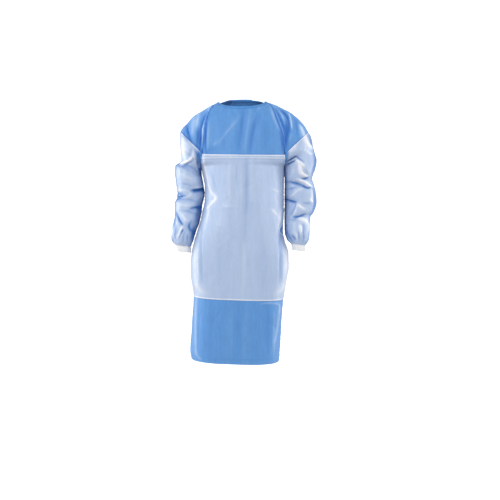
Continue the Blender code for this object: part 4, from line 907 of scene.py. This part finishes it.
def math_node(tree, operation, first, second):
    made = tree.nodes.new("ShaderNodeMath")
    made.operation = operation
    for socket, value in zip(made.inputs, (first, second)):
        if isinstance(value, bpy.types.NodeSocket):
            tree.links.new(value, socket)
        else:
            socket.default_value = value
    return made.outputs[0]


def mixed(tree, factor, first, second, blend="MIX"):
    made = tree.nodes.new("ShaderNodeMix")
    made.data_type = "RGBA"
    made.blend_type = blend
    for socket, value in ((made.inputs[0], factor), (made.inputs[6], first), (made.inputs[7], second)):
        if isinstance(value, bpy.types.NodeSocket):
            tree.links.new(value, socket)
        else:
            socket.default_value = value
    return made.outputs[2]


def cloth_material(name, colours, roughness, sheen, emboss, mottle, crinkle, coat):
    """Bonded cloth: cloudy fibres, fine embossed points, painted shade in folds and painted highlights on ridges.
    """
    base, dark, pale = colours
    made = bpy.data.materials.new(name)
    made.use_nodes = True
    tree = made.node_tree
    shader = tree.nodes["Principled BSDF"]
    place = tree.nodes.new("ShaderNodeTexCoord").outputs["Object"]
    streaks = node(tree, "ShaderNodeMapping", Scale=(1.0, 1.0, 0.22))
    tree.links.new(place, streaks.inputs["Vector"])
    clouds = node(tree, "ShaderNodeTexNoise", Scale=70.0, Detail=6.0, Roughness=0.6)
    tree.links.new(streaks.outputs[0], clouds.inputs["Vector"])
    fibres = node(tree, "ShaderNodeTexNoise", Scale=320.0, Detail=4.0, Roughness=0.7)
    tree.links.new(place, fibres.inputs["Vector"])
    tone = node(tree, "ShaderNodeAttribute", attribute_name="tone").outputs["Fac"]
    # Painted shade (with stitch lines) from tone below 0, painted highlights (with sealed edges) from tone above
    # 0
    darker = math_node(tree, "MULTIPLY", tone, -1.0)
    depth = math_node(tree, "MINIMUM", math_node(tree, "MAXIMUM", darker, 0.0), 1.0)
    highlight_and_edges = math_node(tree, "MINIMUM", math_node(tree, "MAXIMUM", tone, 0.0), 1.0)
    cloudy = math_node(tree, "MULTIPLY", math_node(tree, "SUBTRACT", clouds.outputs["Fac"], 0.5), mottle)
    fuzzy = math_node(tree, "MULTIPLY", math_node(tree, "SUBTRACT", fibres.outputs["Fac"], 0.5), mottle)
    light = math_node(tree, "ADD", math_node(tree, "ADD", cloudy, fuzzy), 1.0)
    colour = mixed(tree, depth, base, dark)
    colour = mixed(tree, highlight_and_edges, colour, pale)
    scaled = tree.nodes.new("ShaderNodeVectorMath")
    scaled.operation = "SCALE"
    tree.links.new(colour, scaled.inputs[0])
    tree.links.new(light, scaled.inputs["Scale"])
    tree.links.new(scaled.outputs[0], shader.inputs["Base Color"])
    shader.inputs["Roughness"].default_value = roughness
    shader.inputs["Sheen Weight"].default_value = sheen
    shader.inputs["Sheen Roughness"].default_value = 0.45
    shader.inputs["Coat Weight"].default_value = coat
    shader.inputs["Coat Roughness"].default_value = 0.28
    points = node(tree, "ShaderNodeTexVoronoi", Scale=620.0, Randomness=0.25)
    tree.links.new(tree.nodes.new("ShaderNodeUVMap").outputs[0], points.inputs["Vector"])
    creases = node(tree, "ShaderNodeTexNoise", Scale=38.0, Detail=3.0, Roughness=0.5, Distortion=0.9)
    tree.links.new(streaks.outputs[0], creases.inputs["Vector"])
    ridges = math_node(tree, "ABSOLUTE", math_node(tree, "SUBTRACT", creases.outputs["Fac"], 0.5), 0.0)
    fine = node(tree, "ShaderNodeBump", Strength=emboss, Distance=0.0003)
    tree.links.new(points.outputs["Distance"], fine.inputs["Height"])
    broad = node(tree, "ShaderNodeBump", Strength=crinkle, Distance=0.0060)
    tree.links.new(ridges, broad.inputs["Height"])
    tree.links.new(fine.outputs[0], broad.inputs["Normal"])
    tree.links.new(broad.outputs[0], shader.inputs["Normal"])
    return made


def knit_material(name, base):
    made = bpy.data.materials.new(name)
    made.use_nodes = True
    tree = made.node_tree
    shader = tree.nodes["Principled BSDF"]
    uv = tree.nodes.new("ShaderNodeUVMap").outputs[0]
    loops = node(tree, "ShaderNodeTexWave", Scale=420.0, Distortion=1.2, Detail=1.0)
    loops.bands_direction = "Y"
    tree.links.new(uv, loops.inputs["Vector"])
    bump = node(tree, "ShaderNodeBump", Strength=0.5, Distance=0.0004)
    tree.links.new(loops.outputs["Fac"], bump.inputs["Height"])
    tree.links.new(bump.outputs[0], shader.inputs["Normal"])
    # Painted shade: the loops are darker where their bump sinks
    shade = mixed(tree, loops.outputs["Fac"], tuple(0.9 * c for c in base[:3]) + (1,), base)
    tree.links.new(shade, shader.inputs["Base Color"])
    shader.inputs["Roughness"].default_value = 0.9
    shader.inputs["Sheen Weight"].default_value = 0.3
    return made


# Pieces


def lap(share):
    return LAP_AT_NECK + (LAP_AT_HEM - LAP_AT_NECK) * share


def rimmed(points, normal):
    """The grid with one more row and column all round, which drop to the cloth beneath."""
    outer = ((1, 1), (1, 1), (0, 0))
    rim = np.ones((points.shape[0] + 2, points.shape[1] + 2, 1))
    rim[1:-1, 1:-1] = 0
    return np.pad(points, outer, mode="edge") - np.pad(normal, outer, mode="edge") * (rim * 1.4 * FACING_LIFT)


def panel_piece(name, points, tone, places, material, solid, closed_from=None):
    """A piece for a whole grid of cloth."""
    piece = add_piece(name, grid_mesh(name, points, tone, places, closed_from), material, solid)


def laid_piece(name, points, normal, tone, places, material, solid):
    """A piece of cloth laid on another: the same with a rim that drops to the cloth beneath."""
    tone = np.pad(tone, 1, mode="edge")
    places = np.pad(places, ((1, 1), (1, 1), (0, 0)), mode="edge")
    panel_piece(name, rimmed(points, normal), tone, places, material, solid)


def body_form_of(side):
    return lambda at, u: body_form(side, at, u)


def front_piece(cloth):
    rows = Rows(body_form_of(-1), even_rows(body_form_of(-1), 0, LAST_ROW))
    along = np.repeat(edged(184), len(rows.at), axis=0)
    points, tone, normal = body_surface(-1, rows, along)
    sunk = SINK * under_facing(rows.at[:, None], along)
    points = points - normal * sunk[..., None]
    # Painted shade along the panel just above the reinforcement's top edge
    above = np.interp(FACING_TOP, rows.at, rows.down[:, 0]) - rows.down
    tone = tone - 0.25 * band(above, 0.0, 0.0030)
    panel_piece("front_cloth", points, tone, rows.places(along), cloth, "front_panel")
    return points, normal


def back_grid(ends, count):
    """Rows and shares of a back panel between its two free or sewn edges, which ends gives as shares u."""
    rows = Rows(body_form_of(1), even_rows(body_form_of(1), 0, LAST_ROW))
    start, end = (rows.along_at(edge) for edge in ends((rows.at / LAST_ROW)[:, None]))
    return rows, start + (end - start) * edged(count)


def lift_lap(rows, along, points, normal):
    """Moves the outer back panel off the inner one, towards its free edge."""
    u = rows.share_at(along)
    share = (rows.at / LAST_ROW)[:, None]
    rise = smooth((u - (0.5 - lap(share) - LAP_CLEAR_SHARE) + LAP_RISE_SHARE) / LAP_RISE_SHARE)
    return points + normal * (LAP_LIFT * rise)[..., None]


def back_pieces(cloth):
    pieces = {}
    for side_name, ends, outer in (
        ("left", lambda share: (0.5 - lap(share), 0 * share + 1), False),
        ("right", lambda share: (0 * share, 0.5 + lap(share)), True),
    ):
        rows, along = back_grid(ends, 112)
        points, tone, normal = body_surface(1, rows, along)
        free = (along[:, -1:] - along if outer else along - along[:, :1]) * rows.length
        tone = tone + 0.35 * band(free, -1, HEM_EDGE) - 0.12 * band(free, *BACK_EDGE_STITCHES)
        if outer:
            points = lift_lap(rows, along, points, normal)
        name = "back_cloth_" + side_name
        panel_piece(name, points, tone, rows.places(along), cloth, "back_panel_" + side_name)
        pieces[side_name] = (points, normal)
    return pieces


def edge_margins(at):
    """How far the front reinforcement's side edges lie from the side seams, in shares of the half round."""
    right = 0.008 + 0 * at
    left = 0.008 + 0.17 * np.exp(-(((at - 13.9) / 0.70) ** 2))
    return right[:, None], left[:, None]


def front_facing(laminate):
    rows = Rows(body_form_of(-1), even_rows(body_form_of(-1), FACING_TOP, FACING_END))
    right, left = edge_margins(rows.at)
    along = right + (1 - left - right) * edged(180)
    points, tone, normal = body_surface(-1, rows, along)
    top = rows.down - rows.down[0]
    foot = rows.down[-1] - rows.down
    side_right = (along - right) * rows.length
    side_left = (1 - left - along) * rows.length
    tone = tone + 0.70 * band(top, -1, 0.0045) - 0.20 * band(top, 0.0060, 0.0085)
    tone = tone + 0.32 * band(top, 0.0085, 0.0150) - 0.20 * band(top, 0.0152, 0.0178)
    tone = tone + 0.85 * band(foot, -1, 0.0045) - 0.12 * band(foot, 0.0060, 0.0080)
    tone = tone + 0.85 * band(side_left, -1, 0.0055) + 0.6 * band(side_right, -1, 0.0040)
    lift = FACING_LIFT + 0.0005 * (band(top, -1, 0.0150) + band(foot, -1, 0.0050) + band(side_left, -1, 0.006))
    points = points + normal * lift[..., None]
    laid_piece("front_laminate", points, normal, tone, rows.places(along), laminate, "front_reinforcement")


def sleeve_pieces(arm, cloth, laminate):
    side_name = arm["name"]

    def form(at, u):
        return sleeve_form(arm["rows"], at, u)

    last = len(arm["rows"]) - 1
    rows = Rows(form, np.unique(np.concatenate([even_rows(form, 0, last, SLEEVE_STEP), [UNDERARM]])))
    along = np.repeat(edged(176), len(rows.at), axis=0)
    points, tone, normal = sleeve_surface(arm, rows, along)
    at = rows.at[:, None]
    tone = tone - 0.85 * np.exp(-(((along - SHOULDER_FOLD_SHARE) / 0.010) ** 2)) * (at < FACING_TOP + 0.6)
    # Painted shade along the sleeve just above the reinforcement's top edge
    above = np.interp(FACING_TOP, rows.at, rows.down[:, 0]) - rows.down
    tone = tone - 0.55 * band(above, -0.001, 0.0032)
    across = smooth((along - 0.10) / 0.03) * smooth((0.90 - along) / 0.03)
    sunk = smooth((at - FACING_TOP - 0.15) / 0.3) * across
    points = points - normal * (SINK * sunk)[..., None]
    closed_from = int(np.searchsorted(rows.at, UNDERARM))
    name, solid = "sleeve_cloth_" + side_name, "sleeve_" + side_name
    panel_piece(name, points, tone, rows.places(along), cloth, solid, closed_from)

    rows = Rows(form, even_rows(form, FACING_TOP, last, SLEEVE_STEP))
    near = 0.030 * smooth((UNDERARM + 1.2 - rows.at) / 1.6)[:, None]
    start, end = SLEEVE_FACING_START + near, SLEEVE_FACING_END - near
    along = start + (end - start) * edged(172)
    over, tone, over_normal = sleeve_surface(arm, rows, along)
    at = rows.at[:, None]
    top = rows.down - rows.down[0]
    foot = rows.down[-1] - rows.down
    tone = tone + 0.55 * band(top, -1, 0.0036) + 0.30 * band(foot, -1, 0.0020)
    # Painted shade along the sleeve's outer and inner sides, where the reinforcement turns away
    for line in arm["lines"]:
        centre = line["share"] + line["sway"] * np.exp(-(((at - line["row"]) / line["half"]) ** 2))
        tone = tone - line["tone"] * np.exp(-(np.abs((along - centre) / line["width"]) ** 3))
    over = over + over_normal * FACING_LIFT
    name, solid = "sleeve_laminate_" + side_name, "sleeve_reinforcement_" + side_name
    laid_piece(name, over, over_normal, tone, rows.places(along), laminate, solid)
    return points, normal


def cuff_piece(side_name, rows, material):
    """A ribbed knit tube, drawn in a little at its open end, with its edge turned in."""
    last = read_rows(rows, SLEEVE_FIELDS, np.array([len(rows) - 1.0]))
    above = read_rows(rows, SLEEVE_FIELDS, np.array([len(rows) - 2.0]))
    inner = np.array([last[key][0, 0] for key in ("seam_x", "front_y", "seam_z")])
    outer = np.array([last[key][0, 0] for key in ("outer_x", "outer_y", "outer_z")])
    above_middle = np.array(
        [
            (above["seam_x"] + above["outer_x"])[0, 0] / 2,
            above["outer_y"][0, 0],
            (above["seam_z"] + above["outer_z"])[0, 0] / 2,
        ]
    )
    centre, across = (inner + outer) / 2, (outer - inner) / 2
    down = (centre - above_middle) / np.linalg.norm(centre - above_middle)
    forward = np.array([0.0, -last["depth"][0, 0], 0.0])
    turn = np.linspace(0, 2 * math.pi, CUFF_RIBS * 8 + 1)[None, :]
    hidden, shown, turned_in = np.linspace(-0.16, 0, 5), np.linspace(0, 1, 22)[1:], np.linspace(1, 0.35, 10)[1:]
    run = np.concatenate([hidden, shown, turned_in])[:, None]
    inward = np.concatenate([np.zeros(26), np.full(9, 0.0011)])[:, None]
    inward[25] = 0.0004
    narrow = 1 - (1 - CUFF_NARROWING) * np.clip(run, 0, 1) - 0.05 * (run < 0)
    spoke = -across * np.cos(turn)[..., None] + forward * np.sin(turn)[..., None]
    reach = np.linalg.norm(spoke, axis=-1)
    rib = 0.0006 * np.cos(turn * CUFF_RIBS)
    radius = reach * narrow - 0.0010 + rib - inward
    points = centre + down * (CUFF_LENGTH * run)[..., None] + spoke / reach[..., None] * radius[..., None]
    name = "cuff_knit_" + side_name
    tone = np.zeros(radius.shape)
    places = joined(turn * reach.mean(), CUFF_LENGTH * run, 0.0)[..., :2]
    panel_piece(name, points, tone, places, material, "cuff_" + side_name, 0)


def neck_path(panels):
    """Rows of points down from the neck edge and their normals, from the outer back round to the inner one."""
    columns = []
    for (points, normal), backwards in panels:
        steps = range(points.shape[1])
        for j in reversed(steps) if backwards else steps:
            here = (points[:4, j], normal[:4, j])
            if columns and np.linalg.norm(columns[-1][0][0] - here[0][0]) < 0.0006:
                columns[-1] = tuple((a + b) / 2 for a, b in zip(columns[-1], here))
            else:
                columns.append(here)
    drops = np.array([c[0] for c in columns])
    outs = np.array([c[1] for c in columns])
    for _ in range(6):
        padded = np.pad(outs, ((1, 1), (0, 0), (0, 0)), mode="edge")
        outs = (padded[:-2] + 2 * outs + padded[2:]) / 4
    outs /= np.linalg.norm(outs, axis=-1, keepdims=True)
    return drops, outs


def neck_binding(panels, material):
    """A strip folded over the neck edge, one cloth thick, gathered a little along its outer edge."""
    drops, outs = neck_path(panels)
    run = np.concatenate([[0.0], np.cumsum(np.linalg.norm(np.diff(drops[:, 0], axis=0), axis=1))])
    steps = np.cumsum(np.linalg.norm(np.diff(drops, axis=1), axis=-1), axis=1)
    fallen = np.concatenate([np.zeros((len(drops), 1)), steps], axis=1)
    down = drops[:, 1] - drops[:, 0]
    down /= np.linalg.norm(down, axis=-1, keepdims=True)
    rings = []
    for side, lift, share in BINDING_SECTION:
        out = lift * (BINDING_OUT if side > 0 else -BINDING_IN)
        reach = max(share, 0) * BINDING_WIDTH
        spot = np.array([np.interp(reach, f, range(4)) for f in fallen])
        low = np.minimum(spot.astype(int), 2)
        part = (spot - low)[:, None]
        pick = np.arange(len(drops))
        place = drops[pick, low] * (1 - part) + drops[pick, low + 1] * part
        normal = outs[pick, low] * (1 - part) + outs[pick, low + 1] * part
        pucker = 0.00025 * np.sin(run / 0.0021) * (0.65 < share < 0.95) * (out > 0)
        rings.append(place + normal * (out + pucker)[:, None] + down * (min(share, 0) * BINDING_WIDTH))
    points = np.stack(rings)
    across = np.concatenate([[0.0], np.cumsum(np.linalg.norm(np.diff(points.mean(axis=1), axis=0), axis=1))])
    places = joined(run[None, :], across[:, None], 0.0)[..., :2]
    tone = np.zeros(points.shape[:2])
    # Painted shade in the groove of the binding and along its lower edge on the cloth
    tone[3] = -0.55
    tone[0] = -0.35
    panel_piece("neck_binding_strip", points, tone, places, material, "neck_binding")


def body_row_at(height):
    """The row position of the body at a height below the underarm."""
    heights = column(TRUNK_ROWS, TRUNK_FIELDS, "z")
    return UNDERARM + np.interp(-height, -heights, range(len(heights)))


def back_strip(at, u, lift):
    """A strip laid on the creased back at row positions and shares u, so far off the cloth."""
    rows = Rows(body_form_of(1), at)
    along = rows.along_at(u)
    points, _, normal = body_surface(1, rows, along)
    return points + normal * lift[..., None], normal, rows.places(along)


def strip_relief(across, run, wave):
    """Lift of a tie over the cloth: hemmed edges, a pressed fold along its middle and soft ripples."""
    hem = 0.0004 * np.exp(-(((np.abs(across) - 0.84) / 0.10) ** 2))
    fold = -0.0005 * np.exp(-((across / 0.12) ** 2))
    ripple = 0.0004 * np.sin(run * 19 + wave + across) + 0.0002 * np.sin(run * 47 + 2 * wave - 2 * across)
    return hem + fold + ripple


def strip_shade(across):
    """Tone of a tie: pale hemmed edges and painted shade along the pressed fold in its middle."""
    return 0.16 * (np.abs(across) > 0.93) - 0.30 * (np.abs(across) < 0.08)


def waist_tie(cloth):
    """The tie: a band from the outer back panel, one from the side seam, their knot and two hanging ends."""
    across = np.concatenate([[-1.0, -0.97, -0.9], np.linspace(-0.8, 0.8, 15), [0.9, 0.97, 1.0]])
    at = body_row_at(TIE_HEIGHT - across * TIE_WIDTH / 2)
    edge = 0.5 + lap(body_row_at(TIE_HEIGHT) / LAST_ROW)
    beside_knot = KNOT_HALF_SPAN - KNOT_OVERLAP_SPAN
    knot = tie_knot(cloth)
    for name, solid, start, stop, outer in (
        ("tie_strip_right", "waist_tie_right", edge - TIE_SEWN_SPAN, TIE_KNOT_SPAN - beside_knot, True),
        ("tie_strip_left", "waist_tie_left", TIE_KNOT_SPAN + beside_knot, TIE_SEAM_SPAN, False),
    ):
        u = np.linspace(start, stop, 120 if outer else 60)[None, :] + 0 * at[:, None]
        fall = smooth((u - edge - 0.006) / 0.035) if outer else 1.0
        relief = strip_relief(across[:, None], u * 3, 0.4)
        points, _, places = back_strip(at, u, TIE_LIFT + LAP_LIFT * (1 - fall) + relief)
        shade = strip_shade(across)[:, None] + 0 * u
        piece = add_piece(name, grid_mesh(name, points, shade, places), cloth, solid)
    for row in TIE_ENDS:
        end = dict(zip(TIE_END_FIELDS, row))
        share = np.linspace(0, 1, 70)
        height = TIE_HEIGHT - TIE_WIDTH / 2 + 0.004 - (end["length"] + 0.004) * share
        lean = end["lean"] * (0.30 + 0.70 * share)
        half = TIE_WIDTH / 2 * (0.50 + 0.45 * smooth(share * 3)) / 0.42
        u = (TIE_KNOT_SPAN + lean)[:, None] + half[:, None] * across[None, :]
        relief = strip_relief(across[None, :], share[:, None] * end["length"] * 3.5, end["wave"])
        relief = relief + 0.0016 * (1 - smooth(share * 4))[:, None]
        points, _, places = back_strip(body_row_at(height), u, TIE_LIFT + relief)
        panel_piece(end["name"], points, strip_shade(across)[None, :] + 0 * u, places, cloth, end["solid"])


def tie_knot(cloth):
    """The knot: a flat wrapped lump with the folds of the strips drawn tight round it."""
    at = np.array([body_row_at(TIE_HEIGHT + 0.004), body_row_at(TIE_HEIGHT), body_row_at(TIE_HEIGHT - 0.004)])
    u = np.array([[TIE_KNOT_SPAN - 0.01, TIE_KNOT_SPAN, TIE_KNOT_SPAN + 0.01]] * 3)
    points, normal, _ = back_strip(at, u, np.full((3, 3), 0.0))
    centre, out = points[1, 1], normal[1, 1]
    side = np.cross(out, [0.0, 0.0, 1.0])
    side /= np.linalg.norm(side)
    up = np.cross(side, out)
    turn = np.linspace(0, 2 * math.pi, 97)[None, :]
    tilt = np.linspace(-math.pi / 2, math.pi / 2, 49)[:, None]
    wrap = 0.06 * np.sin(5 * turn + 4 * tilt) + 0.04 * np.sin(9 * tilt + 2 * np.sin(turn))
    waist = 1 - 0.16 * np.exp(-((np.sin(turn) / 0.35) ** 2))
    size = (1 + wrap * np.cos(tilt)) * waist * 0.5
    x = np.sign(np.cos(turn)) * np.abs(np.cos(turn)) ** 0.8 * np.cos(tilt) ** 0.8 * KNOT_SIZE[0] * size
    z = np.sign(np.sin(turn)) * np.abs(np.sin(turn)) ** 0.8 * np.cos(tilt) ** 0.8 * KNOT_SIZE[2] * size
    y = (np.sin(tilt) * size + 0.5) * KNOT_SIZE[1] + 0.0008
    points = centre + x[..., None] * side + y[..., None] * out + z[..., None] * up
    # Painted shade in the hollows between the wrapped folds
    tone = -0.5 * np.clip(-wrap / 0.08, 0, 1) + 0 * points[..., 0]
    places = joined(x, z, 0.0)[..., :2]
    name = "tie_knot_lump"
    return add_piece(name, grid_mesh(name, points, tone, places, 0), cloth, "waist_tie_knot")


def neck_tab(cloth):
    """The closing tab of the neck, laid on the outer back panel beside its free edge."""
    at = np.linspace(TAB_ROWS[0], TAB_ROWS[1], 22)
    edge = 0.5 + lap(at / LAST_ROW)[:, None]
    start = edge * (1 - TAB_SHARE)
    u = start + (edge * 0.985 - start) * edged(36)
    rows = Rows(body_form_of(1), at)
    along = rows.along_at(u)
    points, _, normal = body_surface(1, rows, along)
    points = lift_lap(rows, along, points, normal)
    inner = np.minimum(np.minimum(np.arange(22), np.arange(22)[::-1])[:, None], 6) / 6.0
    points = points + normal * (TAB_LIFT + 0.0003 * inner)[..., None]
    tone = 0.20 * (inner < 0.3) + 0 * u
    laid_piece("neck_tab_cloth", points, normal, tone, rows.places(along), cloth, "neck_tab")


# Studio


def add_light(name, place, size, watts):
    """A soft rectangular light, turned to the middle of the gown."""
    light = bpy.data.lights.new(name, "AREA")
    light.shape = "RECTANGLE"
    light.size, light.size_y = size
    light.energy = watts
    lamp = bpy.data.objects.new(name, light)
    lamp.location = place
    lamp.rotation_euler = (Vector(LIGHT_AIM) - Vector(place)).to_track_quat("-Z", "Y").to_euler()
    bpy.context.scene.collection.objects.link(lamp)


def backdrop(name, points, faces):
    """A white surface behind the gown, which lights nothing."""
    mesh = bpy.data.meshes.new(name)
    mesh.from_pydata(points, [], faces)
    paint = bpy.data.materials.new(name)
    paint.use_nodes = True
    shader = paint.node_tree.nodes["Principled BSDF"]
    shader.inputs["Base Color"].default_value = (0.85, 0.85, 0.85, 1)
    shader.inputs["Roughness"].default_value = 0.9
    shader.inputs["Emission Color"].default_value = (1, 1, 1, 1)
    shader.inputs["Emission Strength"].default_value = 0.95
    mesh.materials.append(paint)
    surface = bpy.data.objects.new(name, mesh)
    bpy.context.scene.collection.objects.link(surface)
    surface.visible_diffuse = False
    surface.visible_glossy = False
    surface.visible_shadow = False


def surroundings():
    """A floor and a round wall behind the gown."""
    reach = STUDIO_REACH
    corners = [(-reach, -reach, FLOOR), (reach, -reach, FLOOR), (reach, reach, FLOOR), (-reach, reach, FLOOR)]
    backdrop("floor", corners, [(0, 1, 2, 3)])
    turns = [k * math.pi / (WALL_SIDES / 2) for k in range(WALL_SIDES)]
    ring = [(reach * math.cos(turn), reach * math.sin(turn)) for turn in turns]
    wall = [(x, y, z) for z in (FLOOR - 1, FLOOR + STUDIO_HEIGHT) for x, y in ring]
    following = [(k + 1) % WALL_SIDES for k in range(WALL_SIDES)]
    backdrop("wall", wall, [(k, n, n + WALL_SIDES, k + WALL_SIDES) for k, n in enumerate(following)])


def sky():
    world = bpy.data.worlds.new("studio")
    world.use_nodes = True
    bpy.context.scene.world = world
    background = world.node_tree.nodes["Background"]
    background.inputs["Color"].default_value = (1, 1, 1, 1)
    background.inputs["Strength"].default_value = SKY_LIGHT


def aim_camera():
    scene = bpy.context.scene
    camera_data = bpy.data.cameras.new("camera")
    camera_data.sensor_width = SENSOR_MM
    camera_data.lens = SENSOR_MM * FOCAL_PIXELS / (2 * HALF_FRAME)
    camera = bpy.data.objects.new("camera", camera_data)
    camera.location = EYE
    camera.rotation_euler = (math.pi / 2 - PITCH, 0, 0)
    scene.collection.objects.link(camera)
    scene.camera = camera
    scene.view_settings.view_transform = "Standard"
    scene.view_settings.look = "None"


def studio():
    sky()
    surroundings()
    for row in LIGHTS:
        add_light(**dict(zip(LIGHT_FIELDS, row)))
    aim_camera()


def main():
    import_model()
    studio()
    blue = cloth_material("nonwoven_blue", (BLUE, BLUE_DARK, BLUE_PALE), **NONWOVEN)
    laminate = cloth_material("laminate", (LAMINATE, LAMINATE_DARK, LAMINATE_PALE), **FILM)
    binding = cloth_material("binding_blue", (BINDING, BLUE_DARK, BLUE_PALE), **STRIP)
    knit = knit_material("cuff_knit", KNIT)
    front = front_piece(blue)
    backs = back_pieces(blue)
    front_facing(laminate)
    right = sleeve_pieces(ARM_RIGHT, blue, laminate)
    left = sleeve_pieces(ARM_LEFT, blue, laminate)
    cuff_piece("right", SLEEVE_RIGHT_ROWS, knit)
    cuff_piece("left", SLEEVE_LEFT_ROWS, knit)
    outer_side = ((backs["right"], True), (right, True))
    round_the_neck = (*outer_side, (front, False), (left, False), (backs["left"], True))
    neck_binding(round_the_neck, binding)
    neck_tab(blue)
    waist_tie(blue)


main()
